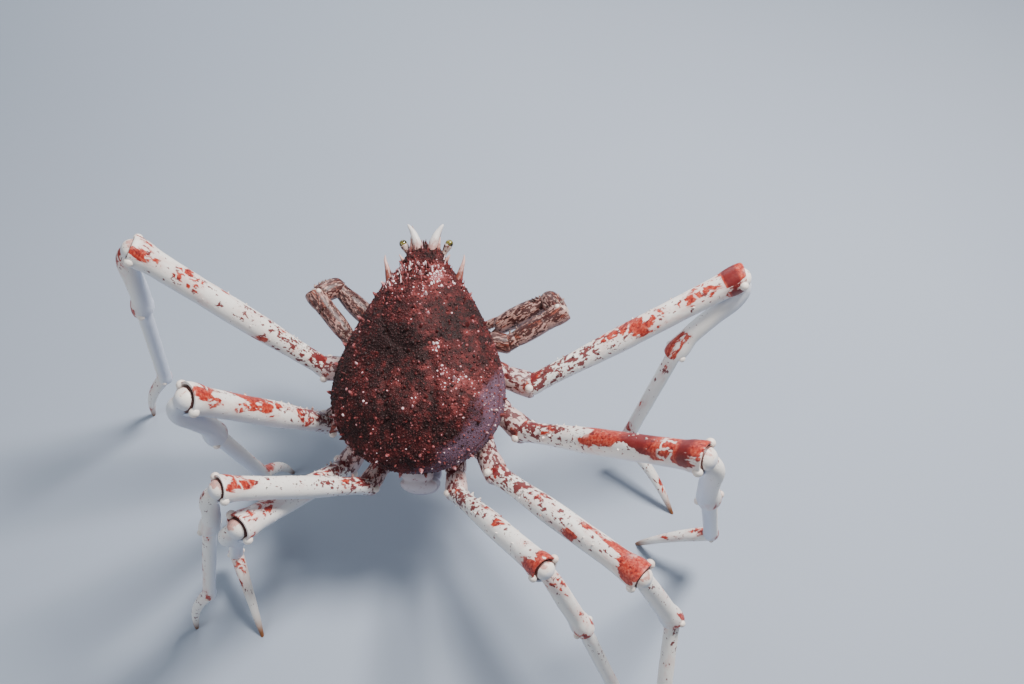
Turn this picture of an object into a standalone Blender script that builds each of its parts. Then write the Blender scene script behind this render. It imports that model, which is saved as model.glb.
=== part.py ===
import math
import random

import bmesh
import bpy
from mathutils import Matrix, Vector

# The body's own axes: x to the crab's right, y to its head, z out of its back.
# Carapace: a pear outline, narrow at the head, with a swollen back.
CARAPACE_HALF_LENGTH = 0.163
CARAPACE_MEAN_HALF_WIDTH = 0.120
CARAPACE_TAPER = 0.053
CARAPACE_REAR_PINCH = 0.11
CARAPACE_HEAD_SWELL = 0.20
CARAPACE_DOME = 0.066
CARAPACE_UNDERSIDE = 0.032
CARAPACE_APEX_BACK = 0.020
# Swollen regions of the back: x, y, rise and spread
CARAPACE_REGIONS = (
    (0.000, 0.062, 0.010, 0.034),
    (0.000, -0.070, 0.009, 0.028),
    (0.064, -0.058, 0.012, 0.038),
    (-0.064, -0.058, 0.012, 0.038),
    (0.052, 0.048, 0.006, 0.022),
    (-0.052, 0.048, 0.006, 0.022),
)

# The front of the shell that carries the horns
HEAD_PLACE = (0.0, 0.150, 0.002)
HEAD_HALF_SIZE = (0.031, 0.032, 0.015)

# Spines and tubercles of the back: angles of their rings, spacing and size
SPINE_RING_RISES = (10, 23, 36, 48, 59, 70, 81)
SPINE_SPACING = 0.031
SPINE_RADIUS = 0.0030
SPINE_HEIGHT = 0.0048

# Where the body is held, and how it is turned
BODY_PLACE = (-0.135, -0.039, 0.305)
BODY_YAW = math.radians(-2.0)
BODY_PITCH = math.radians(22.0)
BODY_ROLL = math.radians(-5.0)

# Underside of the body that carries the legs
THORAX_PLACE = (0.0, -0.015, -0.054)
THORAX_HALF_SIZE = (0.096, 0.128, 0.036)

# The abdomen is this many times as broad as it is thick
ABDOMEN_BREADTH = 2.1

# Room left between two pieces that meet
JOINT_GAP = 0.0003

# Walking legs, first to fourth pair: root on the body, then the lengths of
# hip, merus, carpus, propodus and dactylus, then the thickness of the merus
LEG_ROOTS = {
    1: (0.092, 0.000, -0.052),
    2: (0.098, -0.048, -0.052),
    3: (0.084, -0.104, -0.052),
    4: (0.050, -0.130, -0.050),
}
LEG_LENGTHS = {
    1: (0.070, 0.345, 0.150, 0.220, 0.145),
    2: (0.070, 0.345, 0.150, 0.220, 0.145),
    3: (0.066, 0.295, 0.138, 0.200, 0.132),
    4: (0.058, 0.303, 0.130, 0.200, 0.135),
}
LEG_RADII = {1: 0.0185, 2: 0.0185, 3: 0.0175, 4: 0.0155}
HIP_SUNK = 0.018

# Pose of each walking leg: compass angle and rise, in degrees, of hip, merus,
# carpus and propodus, then the compass angle of the dactylus, which slopes
# down to the ground from wherever its joint is
LEG_POSES = {
    ("right", 1): ((-18, -8), (16, 26), (-150, -52), (-150, -72), -50),
    ("right", 2): ((-43, -5), (-37, 39), (30, -76), (46, -74), 165),
    ("right", 3): ((-66, 4), (-48, 23), (-10, -66), (-95, -54), -80),
    ("right", 4): ((-86, -12), (-59, 41), (-31, -62), (-27, -71), -34),
    ("left", 1): ((169, -16), (176, 50), (160, -76), (150, -80), 173),
    ("left", 2): ((-161, -35), (-129, 59), (101, -77), (77, -76), 77),
    ("left", 3): ((-146, -47), (-114, 44), (132, -65), (133, -68), -68),
    ("left", 4): ((-118, -3), (-138, 52), (172, -70), (-161, -76), -172),
}

# Claw legs, in the body's own axes
CLAW_ROOT = (0.070, 0.050, -0.054)
CLAW_LENGTHS = (0.052, 0.095, 0.040, 0.085, 0.060)
CLAW_RADIUS = 0.0145
CLAW_POSES = {
    "right": ((-8, -10), (30, 6), (128, -35), (205, -12), (208, -20)),
    "left": ((-8, -10), (50, 6), (140, -35), (222, -12), (225, -20)),
}

SHELL_RED = (0.30, 0.085, 0.045)
LEG_IVORY = (0.78, 0.66, 0.52)
LEG_ORANGE = (0.62, 0.20, 0.09)
CLAW_BROWN = (0.42, 0.17, 0.10)
BELLY_IVORY = (0.72, 0.62, 0.50)
EYE_OLIVE = (0.12, 0.11, 0.04)
FEELER_BROWN = (0.36, 0.15, 0.08)
MOUTH_TAN = (0.55, 0.33, 0.20)


def direction(compass, rise):
    a = math.radians(compass)
    e = math.radians(rise)
    return Vector((math.cos(a) * math.cos(e), math.sin(a) * math.cos(e), math.sin(e)))


def body_matrix():
    turn = Matrix.Rotation(BODY_YAW, 4, "Z")
    tip = Matrix.Rotation(BODY_PITCH, 4, "X")
    lean = Matrix.Rotation(BODY_ROLL, 4, "Y")
    return Matrix.Translation(BODY_PLACE) @ turn @ tip @ lean


def region_rise(x, y):
    total = 0.0
    for cx, cy, height, spread in CARAPACE_REGIONS:
        distance = ((x - cx) ** 2 + (y - cy) ** 2) / spread ** 2
        total += height * math.exp(-distance)
    return total


# A point of the shell: turn is counted from the head, rise from the rim
def carapace_point(turn, rise, grow=0.0):
    out = math.cos(rise)
    ahead = math.cos(turn)
    half_width = CARAPACE_MEAN_HALF_WIDTH - CARAPACE_TAPER * ahead
    half_width *= 1.0 - CARAPACE_REAR_PINCH * max(0.0, -ahead) ** 2
    half_width *= 1.0 + CARAPACE_HEAD_SWELL * max(0.0, ahead) ** 3
    x = out * math.sin(turn) * (half_width + grow)
    y = out * ahead * (CARAPACE_HALF_LENGTH + grow)
    if rise > 0.0:
        up = math.sin(rise)
        z = up * (CARAPACE_DOME + grow)
        z += up * up * region_rise(x, y)
        y -= up * CARAPACE_APEX_BACK
    else:
        z = math.sin(rise) * (CARAPACE_UNDERSIDE + grow)
    return Vector((x, y, z))


def carapace_normal(turn, rise):
    step = 0.02
    across = carapace_point(turn + step, rise) - carapace_point(turn - step, rise)
    along = carapace_point(turn, rise + step) - carapace_point(turn, rise - step)
    return along.cross(across).normalized()


def finish_mesh(bm, name):
    bmesh.ops.remove_doubles(bm, verts=bm.verts, dist=0.00001)
    bmesh.ops.recalc_face_normals(bm, faces=bm.faces)
    mesh = bpy.data.meshes.new(name)
    bm.to_mesh(mesh)
    bm.free()
    return mesh


def place_mesh(name, mesh, collection):
    piece = bpy.data.objects.new(name, mesh)
    collection.objects.link(piece)
    return piece


def make_shell(name, grow, collection):
    bm = bmesh.new()
    bmesh.ops.create_uvsphere(bm, u_segments=36, v_segments=18, radius=1.0)
    for vert in bm.verts:
        turn = math.atan2(vert.co.x, vert.co.y)
        rise = math.asin(max(-1.0, min(1.0, vert.co.z)))
        vert.co = carapace_point(turn, rise, grow)
    return place_mesh(name, finish_mesh(bm, name), collection)


def make_ball(name, centre, half_size, across, along, grow, collection):
    bm = bmesh.new()
    bmesh.ops.create_uvsphere(bm, u_segments=across, v_segments=along, radius=1.0)
    for vert in bm.verts:
        for axis in range(3):
            vert.co[axis] = centre[axis] + vert.co[axis] * (half_size[axis] + grow)
    return place_mesh(name, finish_mesh(bm, name), collection)


def make_tube(name, points, radii, sides, grow, collection):
    curve = bpy.data.curves.new(name, "CURVE")
    curve.dimensions = "3D"
    curve.bevel_depth = 1.0
    curve.bevel_resolution = (sides - 4) // 2
    curve.use_fill_caps = True
    spline = curve.splines.new("POLY")
    spline.points.add(len(points) - 1)
    first = points[0] - (points[1] - points[0]).normalized() * grow
    last = points[-1] + (points[-1] - points[-2]).normalized() * grow
    path = [first] + list(points[1:-1]) + [last]
    for number, point in enumerate(path):
        spline.points[number].co = (point.x, point.y, point.z, 1.0)
        spline.points[number].radius = radii[number] + grow
    holder = bpy.data.objects.new(name + "_path", curve)
    collection.objects.link(holder)
    depsgraph = bpy.context.evaluated_depsgraph_get()
    mesh = bpy.data.meshes.new_from_object(holder.evaluated_get(depsgraph))
    bpy.data.objects.remove(holder, do_unlink=True)
    bpy.data.curves.remove(curve)
    bm = bmesh.new()
    bm.from_mesh(mesh)
    bpy.data.meshes.remove(mesh)
    return place_mesh(name, finish_mesh(bm, name), collection)


def make_spine(name, foot, axis, root_radius, height, sunk, collection):
    bm = bmesh.new()
    bmesh.ops.create_cone(bm, cap_ends=True, segments=5, radius1=root_radius,
                          radius2=root_radius * 0.22, depth=height + sunk)
    turn = Vector((0.0, 0.0, 1.0)).rotation_difference(axis).to_matrix().to_4x4()
    centre = foot + axis * (height - sunk) * 0.5
    bm.transform(Matrix.Translation(centre) @ turn)
    return place_mesh(name, finish_mesh(bm, name), collection)


def apply_boolean(target, operation, operands, solver):
    if not operands:
        return
    group = bpy.data.collections.new(target.name + "_operands")
    for operand in operands:
        for owner in list(operand.users_collection):
            owner.objects.unlink(operand)
        group.objects.link(operand)
    modifier = target.modifiers.new("Boolean", "BOOLEAN")
    modifier.operation = operation
    modifier.operand_type = "COLLECTION"
    modifier.collection = group
    modifier.solver = solver
    bpy.context.view_layer.update()
    depsgraph = bpy.context.evaluated_depsgraph_get()
    mesh = bpy.data.meshes.new_from_object(target.evaluated_get(depsgraph))
    target.modifiers.clear()
    old = target.data
    target.data = mesh
    bpy.data.meshes.remove(old)
    for operand in list(group.objects):
        bpy.data.objects.remove(operand, do_unlink=True)
    bpy.data.collections.remove(group)


def keep_largest(target):
    bm = bmesh.new()
    bm.from_mesh(target.data)
    unseen = set(bm.faces)
    shells = []
    while unseen:
        front = [unseen.pop()]
        shell = []
        while front:
            face = front.pop()
            shell.append(face)
            for edge in face.edges:
                for other in edge.link_faces:
                    if other in unseen:
                        unseen.remove(other)
                        front.append(other)
        shells.append(shell)
    shells.sort(key=lambda shell: sum(face.calc_area() for face in shell))
    for shell in shells[:-1]:
        bmesh.ops.delete(bm, geom=shell, context="FACES")
    bmesh.ops.dissolve_degenerate(bm, dist=0.00001, edges=bm.edges)
    bmesh.ops.triangulate(bm, faces=bm.faces)
    bm.to_mesh(target.data)
    bm.free()


# A shape is a kind and its sizes; it can be made a little larger, as a cutter
def make_shape(name, shape, grow, collection):
    kind = shape[0]
    if kind == "placed":
        piece = make_shape(name, shape[2], grow, collection)
        piece.data.transform(shape[1])
        return piece
    if kind == "tube":
        return make_tube(name, shape[1], shape[2], shape[3], grow, collection)
    if kind == "ball":
        return make_ball(name, shape[1], shape[2], shape[3], shape[4], grow, collection)
    if kind == "spine":
        return make_spine(name, shape[1], shape[2], shape[3], shape[4], shape[5], collection)
    return make_shell(name, grow, collection)


def make_material(name, colour, roughness):
    material = bpy.data.materials.new(name)
    material.use_nodes = True
    shader = material.node_tree.nodes["Principled BSDF"]
    shader.inputs["Base Color"].default_value = (colour[0], colour[1], colour[2], 1.0)
    shader.inputs["Roughness"].default_value = roughness
    shader.inputs["Metallic"].default_value = 0.0
    return material


def build_node(name, shapes, neighbours, colour, roughness, place, ground=False):
    node = make_shape(name, shapes[0], 0.0, crab)
    added = []
    for number, shape in enumerate(shapes[1:]):
        added.append(make_shape(name + "_part_" + str(number), shape, 0.0, cutters))
    apply_boolean(node, "UNION", added, "EXACT")
    tools = []
    for number, shape in enumerate(neighbours):
        tools.append(make_shape(name + "_cut_" + str(number), shape, JOINT_GAP, cutters))
    apply_boolean(node, "DIFFERENCE", tools, "EXACT")
    node.data.transform(place)
    if ground:
        bm = bmesh.new()
        bmesh.ops.create_cube(bm, size=0.4)
        foot = min((vert.co for vert in node.data.vertices), key=lambda co: co.z)
        bm.transform(Matrix.Translation((foot.x, foot.y, -0.2)))
        slab = place_mesh(name + "_ground", finish_mesh(bm, name + "_ground"), cutters)
        apply_boolean(node, "DIFFERENCE", [slab], "EXACT")
    keep_largest(node)
    node.data.name = name
    node.data.materials.clear()
    node.data.materials.append(make_material(name, colour, roughness))
    for polygon in node.data.polygons:
        polygon.use_smooth = True
    return node


def side_knobs(centre, side, spread, radius):
    size = (radius, radius, radius)
    return [
        ("ball", centre + side * spread, size, 6, 4),
        ("ball", centre - side * spread, size, 6, 4),
    ]


# A leg piece from one joint to the next: slim after its root, flared and
# rounded off at the far joint; a hooked one leaves its root sideways
def limb(start, end, root, middle, flare, sides, sunk=0.0, hook=None):
    along = (end - start).normalized()
    length = (end - start).length
    if hook is None:
        path = [start - along * sunk, start + along * length * 0.45]
        radii = [root, middle]
    else:
        path = [start, start + hook * 0.85 + along * length * 0.02]
        path.append(start + hook + along * length * 0.13)
        path.append(start + hook * 0.45 + along * length * 0.45)
        radii = [root * 0.92, root, root * 1.03, middle]
    for back, share in ((1.7, 0.0), (0.65, 0.98), (-0.15, 0.98), (-0.75, 0.55)):
        path.append(end - along * flare * back)
        radii.append(flare * share if share else middle)
    return ("tube", path, radii, sides)


# Small spines in a seeded row along the upper side of a leg piece
def row_of_spines(start, end, radius, count, seed):
    dice = random.Random(seed)
    along = (end - start).normalized()
    side = along.cross(Vector((0.0, 0.0, 1.0))).normalized()
    above = side.cross(along).normalized()
    spines = []
    for number in range(count):
        share = 0.12 + 0.70 * (number + dice.uniform(0.2, 0.8)) / count
        lean = math.radians(dice.uniform(-65.0, 65.0))
        out = above * math.cos(lean) + side * math.sin(lean)
        foot = start + (end - start) * share + out * radius
        axis = (out + along * 0.35).normalized()
        spines.append(("spine", foot, axis, 0.0024, dice.uniform(0.0026, 0.0036), 0.0022))
    return spines


def bend_side(first, second):
    side = first.cross(second)
    if side.length < 0.05:
        side = first.cross(Vector((0.0, 0.0, 1.0)))
    return side.normalized()


def leg_joints(side, pair):
    body = body_matrix()
    x, y, z = LEG_ROOTS[pair]
    sign = 1.0 if side == "right" else -1.0
    joints = [body @ Vector((sign * x, y, z))]
    pose = LEG_POSES[(side, pair)]
    for number in range(4):
        step = direction(pose[number][0], pose[number][1])
        joints.append(joints[-1] + step * LEG_LENGTHS[pair][number])
    rise = -math.degrees(math.asin(joints[-1].z / LEG_LENGTHS[pair][4]))
    joints.append(joints[-1] + direction(pose[4], rise) * LEG_LENGTHS[pair][4])
    return joints


def dactylus_shape(start, tip, radius, bow, sides):
    along = tip - start
    rows = 5
    path = []
    radii = []
    for row in range(rows + 1):
        share = row / rows
        path.append(start + along * share + bow * math.sin(math.pi * share))
        radii.append(radius * (1.0 - share) ** 0.75 + 0.0030)
    past = (path[-1] - path[-2]).normalized() * 0.006
    path.append(path[-1] + past)
    radii.append(0.0026)
    return ("tube", path, radii, sides)


def build_walking_leg(side, pair, trunk):
    name = side + "_leg" + str(pair)
    joints = leg_joints(side, pair)
    radius = LEG_RADII[pair]
    steps = [(joints[n + 1] - joints[n]).normalized() for n in range(5)]
    still = Matrix.Identity(4)
    seed = pair + (10 if side == "left" else 0)

    hip = [limb(joints[0], joints[1], radius * 0.98, radius * 0.94, radius * 1.08, 10,
                sunk=HIP_SUNK)]
    hip += side_knobs(joints[1], bend_side(steps[0], steps[1]), radius, radius * 0.34)
    build_node(name + "_hip", hip, trunk, LEG_ORANGE, 0.55, still)

    merus = [limb(joints[1], joints[2], radius * 0.86, radius, radius * 1.16, 10)]
    knee_side = bend_side(steps[1], steps[2])
    merus += side_knobs(joints[2], knee_side, radius * 1.10, radius * 0.36)
    spines = row_of_spines(joints[1], joints[2], radius * 0.95, 8, seed)
    build_node(name + "_merus", merus + spines, hip, LEG_IVORY, 0.5, still)

    fold = steps[2] - steps[1] * steps[2].dot(steps[1])
    hook = fold.normalized() * radius * 1.15
    carpus = [limb(joints[2], joints[3], radius * 0.70, radius * 0.76, radius * 0.92, 8,
                   hook=hook)]
    wrist_side = bend_side(steps[2], steps[3])
    carpus += side_knobs(joints[3], wrist_side, radius * 0.86, radius * 0.28)
    build_node(name + "_carpus", carpus, merus, LEG_IVORY, 0.5, still)

    propodus = [limb(joints[3], joints[4], radius * 0.62, radius * 0.60, radius * 0.66, 8)]
    build_node(name + "_propodus", propodus, carpus, LEG_IVORY, 0.5, still)

    bow = steps[4].cross(bend_side(steps[3], steps[4])) * LEG_LENGTHS[pair][4] * 0.07
    if bow.z < 0.0:
        bow = -bow
    toe = [dactylus_shape(joints[4], joints[5], radius * 0.44, bow, 8)]
    build_node(name + "_dactylus", toe, propodus, LEG_ORANGE, 0.45, still, ground=True)


def build_claw_leg(side, trunk, place):
    name = side + "_claw"
    sign = 1.0 if side == "right" else -1.0
    flip = Vector((sign, 1.0, 1.0))
    joints = [Vector(CLAW_ROOT) * flip]
    steps = []
    for number in range(5):
        compass, rise = CLAW_POSES[side][number]
        step = direction(compass, rise) * flip
        steps.append(step)
        joints.append(joints[-1] + step * CLAW_LENGTHS[number])
    radius = CLAW_RADIUS

    hip = [limb(joints[0], joints[1], radius * 0.95, radius * 0.92, radius * 1.05, 10,
                sunk=HIP_SUNK)]
    build_node(name + "_hip", hip, trunk, CLAW_BROWN, 0.55, place)

    merus = [limb(joints[1], joints[2], radius * 0.85, radius, radius * 1.12, 10)]
    build_node(name + "_merus", merus, hip, CLAW_BROWN, 0.55, place)

    reach = joints[3] - joints[2]
    knuckle = [joints[2] + reach * 0.1, joints[2] + reach * 0.5, joints[2] + reach * 0.8,
               joints[3] + reach * 0.1, joints[3] + reach * 0.3]
    carpus = [("tube", knuckle, [radius * share for share in (0.9, 1.12, 1.15, 1.05, 0.5)], 10)]
    build_node(name + "_carpus", carpus, merus, CLAW_BROWN, 0.55, place)

    palm_end = joints[4]
    across = steps[3].cross(Vector((0.0, 0.0, 1.0))).normalized() * radius * 0.55
    tip = joints[5]
    palm = [limb(joints[3], palm_end, radius * 0.82, radius * 1.12, radius * 1.0, 10)]
    fixed_path = [palm_end - across * 0.6, palm_end + (tip - palm_end) * 0.5 - across * 1.2,
                  tip - across * 0.55]
    fixed = ("tube", fixed_path, [radius * 0.55, radius * 0.42, 0.0018], 8)
    build_node(name + "_palm", palm + [fixed], carpus, CLAW_BROWN, 0.5, place)

    moving_path = [palm_end + across * 0.9, palm_end + (tip - palm_end) * 0.5 + across * 1.5,
                   tip + across * 0.55]
    moving = ("tube", moving_path, [radius * 0.55, radius * 0.42, 0.0018], 8)
    build_node(name + "_finger", [moving], palm + [fixed], CLAW_BROWN, 0.5, place)


# Spines and tubercles of the back in rings, from the rim to the middle
def carapace_spines():
    dice = random.Random(7)
    spines = []
    for ring, lift in enumerate(SPINE_RING_RISES):
        rise = math.radians(lift)
        length = 2.0 * math.pi * 0.14 * math.cos(rise)
        count = int(length / SPINE_SPACING)
        for number in range(count):
            turn = 2.0 * math.pi * (number + 0.5 * (ring % 2) + dice.uniform(-0.22, 0.22)) / count
            up = rise + math.radians(dice.uniform(-2.5, 2.5))
            if abs(math.remainder(turn, 2.0 * math.pi)) < 0.30 and lift < 20:
                continue
            foot = carapace_point(turn, up)
            out = carapace_normal(turn, up)
            axis = (out + Vector((0.0, 0.25, 0.0))).normalized()
            size = dice.uniform(0.8, 1.2) * (1.25 if ring == 0 or number % 4 == 0 else 0.85)
            spines.append(("spine", foot, axis, SPINE_RADIUS * size, SPINE_HEIGHT * size, 0.004))
    return spines


def carapace_shapes(head):
    shapes = [("shell",), head] + carapace_spines()
    for sign in (-1.0, 1.0):
        # Horns of the rostrum, curved outward
        path = [Vector((sign * 0.0105, 0.165, 0.006)), Vector((sign * 0.0125, 0.180, 0.009)),
                Vector((sign * 0.0185, 0.195, 0.012)), Vector((sign * 0.0270, 0.208, 0.0145))]
        shapes.append(("tube", path, [0.0078, 0.0070, 0.0050, 0.0014], 8))
        # Long spine at the front corner, and the spine behind the eye
        path = [Vector((sign * 0.046, 0.108, 0.002)), Vector((sign * 0.052, 0.127, 0.004)),
                Vector((sign * 0.0565, 0.143, 0.006)), Vector((sign * 0.060, 0.162, 0.0095))]
        shapes.append(("tube", path, [0.0100, 0.0062, 0.0036, 0.0010], 8))
        path = [Vector((sign * 0.028, 0.148, 0.004)), Vector((sign * 0.0385, 0.1625, 0.009))]
        shapes.append(("tube", path, [0.0050, 0.0010], 6))
        # Small spine over the eye
        path = [Vector((sign * 0.0195, 0.166, 0.006)), Vector((sign * 0.0225, 0.190, 0.010))]
        shapes.append(("tube", path, [0.0036, 0.0010], 6))
    return shapes


def build_head(head, place):
    trunk = [("shell",), head]
    for side, sign in (("right", 1.0), ("left", -1.0)):
        stalk = [Vector((sign * 0.020, 0.156, -0.004)), Vector((sign * 0.027, 0.168, -0.003)),
                 Vector((sign * 0.032, 0.177, 0.000))]
        eye = [("tube", stalk, [0.0044, 0.0042, 0.0054], 8)]
        eye.append(("ball", Vector((sign * 0.0345, 0.181, 0.0015)), (0.0070, 0.0070, 0.0066), 10, 6))
        build_node("eye_" + side, eye, trunk, EYE_OLIVE, 0.2, place)

        feeler = [Vector((sign * 0.011, 0.146, -0.016)), Vector((sign * 0.013, 0.166, -0.0155)),
                  Vector((sign * 0.015, 0.182, -0.0125)), Vector((sign * 0.018, 0.197, -0.008)),
                  Vector((sign * 0.024, 0.212, -0.002))]
        antenna = [("tube", feeler, [0.0048, 0.0040, 0.0022, 0.0014, 0.0008], 8)]
        build_node("antenna_" + side, antenna, trunk, FEELER_BROWN, 0.5, place)

    plates = [("ball", Vector((0.0, 0.112, -0.040)), (0.012, 0.030, 0.008), 10, 6)]
    for sign in (-1.0, 1.0):
        plates.append(("ball", Vector((sign * 0.012, 0.114, -0.042)), (0.0125, 0.030, 0.009), 10, 6))
        palp = [Vector((sign * 0.014, 0.134, -0.044)), Vector((sign * 0.012, 0.146, -0.046)),
                Vector((sign * 0.006, 0.150, -0.052))]
        plates.append(("tube", palp, [0.0042, 0.0036, 0.0018], 6))
    thorax = ("ball", Vector(THORAX_PLACE), THORAX_HALF_SIZE, 20, 10)
    build_node("mouthparts", plates, trunk + [thorax], MOUTH_TAN, 0.55, place)


for old in list(bpy.data.objects):
    bpy.data.objects.remove(old, do_unlink=True)
crab = bpy.data.collections.new("japanese_spider_crab")
bpy.context.scene.collection.children.link(crab)
cutters = bpy.data.collections.new("cutters")
bpy.context.scene.collection.children.link(cutters)
cutters.hide_render = True

held = body_matrix()
thorax_ball = ("ball", Vector(THORAX_PLACE), THORAX_HALF_SIZE, 20, 10)
head_ball = ("ball", Vector(HEAD_PLACE), HEAD_HALF_SIZE, 16, 10)
build_node("carapace", carapace_shapes(head_ball), [], SHELL_RED, 0.6, held)
build_node("thorax", [thorax_ball], [("shell",)], BELLY_IVORY, 0.6, held)
# The abdomen leaves the rear rim and is folded forward under the thorax
flap = [Vector((0.0, -0.150, -0.020)), Vector((0.0, -0.174, -0.032)),
        Vector((0.0, -0.176, -0.058)), Vector((0.0, -0.152, -0.080)),
        Vector((0.0, -0.100, -0.091)), Vector((0.0, -0.030, -0.094))]
flap_tube = ("tube", flap, [0.010, 0.012, 0.0125, 0.012, 0.0105, 0.006], 10)
broad = Matrix.Diagonal((ABDOMEN_BREADTH, 1.0, 1.0, 1.0))
build_node("abdomen", [("placed", broad, flap_tube)], [("shell",), thorax_ball],
           SHELL_RED, 0.6, held)
build_head(head_ball, held)

held_trunk = [("placed", held, thorax_ball), ("placed", held, ("shell",))]
for leg_side in ("right", "left"):
    build_claw_leg(leg_side, [thorax_ball, ("shell",)], held)
    for leg_pair in (1, 2, 3, 4):
        build_walking_leg(leg_side, leg_pair, held_trunk)

# Bring the middle of the footprint to the origin
corners = [vert.co for piece in crab.objects for vert in piece.data.vertices]
middle_x = (min(co.x for co in corners) + max(co.x for co in corners)) * 0.5
middle_y = (min(co.y for co in corners) + max(co.y for co in corners)) * 0.5
for piece in crab.objects:
    piece.data.transform(Matrix.Translation((-middle_x, -middle_y, 0.0)))
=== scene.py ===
import functools
import math
import random

import bmesh
import bpy
import numpy as np
from mathutils import Matrix, Vector, noise


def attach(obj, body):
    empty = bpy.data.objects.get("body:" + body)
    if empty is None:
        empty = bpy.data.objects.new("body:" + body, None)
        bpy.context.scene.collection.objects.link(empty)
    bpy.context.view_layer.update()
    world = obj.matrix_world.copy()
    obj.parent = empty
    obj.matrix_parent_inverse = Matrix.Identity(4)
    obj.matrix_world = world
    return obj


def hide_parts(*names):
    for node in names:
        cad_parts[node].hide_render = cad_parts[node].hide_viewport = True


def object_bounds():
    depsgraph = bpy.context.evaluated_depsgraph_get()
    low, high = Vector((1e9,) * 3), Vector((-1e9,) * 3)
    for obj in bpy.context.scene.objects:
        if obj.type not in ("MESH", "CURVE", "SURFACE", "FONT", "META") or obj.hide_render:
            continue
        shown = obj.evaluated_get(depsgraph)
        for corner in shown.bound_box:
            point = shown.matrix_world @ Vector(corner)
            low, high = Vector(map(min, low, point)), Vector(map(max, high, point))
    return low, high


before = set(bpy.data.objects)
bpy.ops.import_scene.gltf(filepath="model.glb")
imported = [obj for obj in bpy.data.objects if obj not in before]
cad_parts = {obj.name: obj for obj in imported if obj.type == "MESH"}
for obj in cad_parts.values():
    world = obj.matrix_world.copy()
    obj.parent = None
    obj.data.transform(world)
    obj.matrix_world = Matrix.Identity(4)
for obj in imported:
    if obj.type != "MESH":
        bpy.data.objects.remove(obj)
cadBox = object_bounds()

# How the whole crab stands: the same values as the solids have
stance = {
    "middle": (-0.145994, -0.236091),   # middle of the footprint, brought to the origin
    "place": (-0.135, -0.039, 0.305),   # middle of the shell
    "yaw": -2.0,
    "pitch": 22.0,
    "roll": -5.0,
}

shiftHome = Matrix.Translation((-stance["middle"][0], -stance["middle"][1], 0.0))
bodyHeld = (Matrix.Translation(stance["place"])
            @ Matrix.Rotation(math.radians(stance["yaw"]), 4, "Z")
            @ Matrix.Rotation(math.radians(stance["pitch"]), 4, "X")
            @ Matrix.Rotation(math.radians(stance["roll"]), 4, "Y"))
bodyHome = shiftHome @ bodyHeld


# Small helpers

upward = Vector((0.0, 0.0, 1.0))
forward = Vector((0.0, 1.0, 0.0))


def clearPicks():
    if bpy.context.mode != "OBJECT":
        bpy.ops.object.mode_set(mode="OBJECT")
    bpy.ops.object.select_all(action="DESELECT")


def pickOnly(piece):
    clearPicks()
    piece.select_set(True)
    bpy.context.view_layer.objects.active = piece


def editAll(piece):
    pickOnly(piece)
    bpy.ops.object.mode_set(mode="EDIT")
    bpy.ops.mesh.select_all(action="SELECT")


def tidyMesh(piece, distance=0.00001):
    editAll(piece)
    bpy.ops.mesh.remove_doubles(threshold=distance)
    bpy.ops.mesh.normals_make_consistent(inside=False)
    bpy.ops.object.mode_set(mode="OBJECT")


def joinPieces(pieces):
    pickOnly(pieces[0])
    for piece in pieces[1:]:
        piece.select_set(True)
    if len(pieces) > 1:
        bpy.ops.object.join()
    return pieces[0]


def readPoints(mesh):
    points = np.empty(len(mesh.vertices) * 3)
    mesh.vertices.foreach_get("co", points)
    return points.reshape(-1, 3)


def writeMark(mesh, name, values):
    values = np.asarray(values, dtype=np.float32)
    kind = "FLOAT" if values.ndim == 1 else "FLOAT_VECTOR"
    mark = mesh.attributes.get(name) or mesh.attributes.new(name, kind, "POINT")
    mark.data.foreach_set("value" if kind == "FLOAT" else "vector", values.ravel())


def between(value, low=0.0, high=1.0):
    return max(low, min(high, value))


def bell(away, width):
    # one in the middle, falling off to nothing
    return math.exp(-(away / width) ** 2)


def blot(x, y, width):
    return math.exp(-(x ** 2 + y ** 2) / width ** 2)


def compass(turn, rise):
    a = math.radians(turn)
    e = math.radians(rise)
    return Vector((math.cos(a) * math.cos(e), math.sin(a) * math.cos(e), math.sin(e)))


def easeSlopes(at, values):
    # slopes of a smooth line through the values that never overshoots
    width = np.diff(at)
    rate = np.diff(values) / width
    slope = np.zeros(len(at))
    slope[0] = rate[0]
    slope[-1] = rate[-1]
    for i in range(1, len(at) - 1):
        if rate[i - 1] * rate[i] > 0.0:
            before = 2.0 * width[i] + width[i - 1]
            after = width[i] + 2.0 * width[i - 1]
            slope[i] = (before + after) / (before / rate[i - 1] + after / rate[i])
    return slope


def smoothRoute(stations, spacing):
    # stations are x, y, z and radius; returns them closer together and smooth
    rows = np.array([tuple(p) + (r,) for p, r in stations])
    steps = np.linalg.norm(np.diff(rows[:, :3], axis=0), axis=1)
    steps = np.maximum(steps + np.abs(np.diff(rows[:, 3])), 1e-5)
    at = np.concatenate(([0.0], np.cumsum(steps)))
    fine = []
    for i, step in enumerate(steps):
        parts = between(int(math.ceil(step / spacing)), 2, 26)
        fine.extend(at[i] + step * np.arange(parts) / parts)
    fine = np.array(fine + [at[-1]])
    out = np.zeros((len(fine), 4))
    for column in range(4):
        slope = easeSlopes(at, rows[:, column])
        spot = np.clip(np.searchsorted(at, fine, side="right") - 1, 0, len(at) - 2)
        width = at[spot + 1] - at[spot]
        t = (fine - at[spot]) / width
        out[:, column] = ((2 * t ** 3 - 3 * t ** 2 + 1) * rows[spot, column]
                          + (t ** 3 - 2 * t ** 2 + t) * width * slope[spot]
                          + (-2 * t ** 3 + 3 * t ** 2) * rows[spot + 1, column]
                          + (t ** 3 - t ** 2) * width * slope[spot + 1])
    return out


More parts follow.
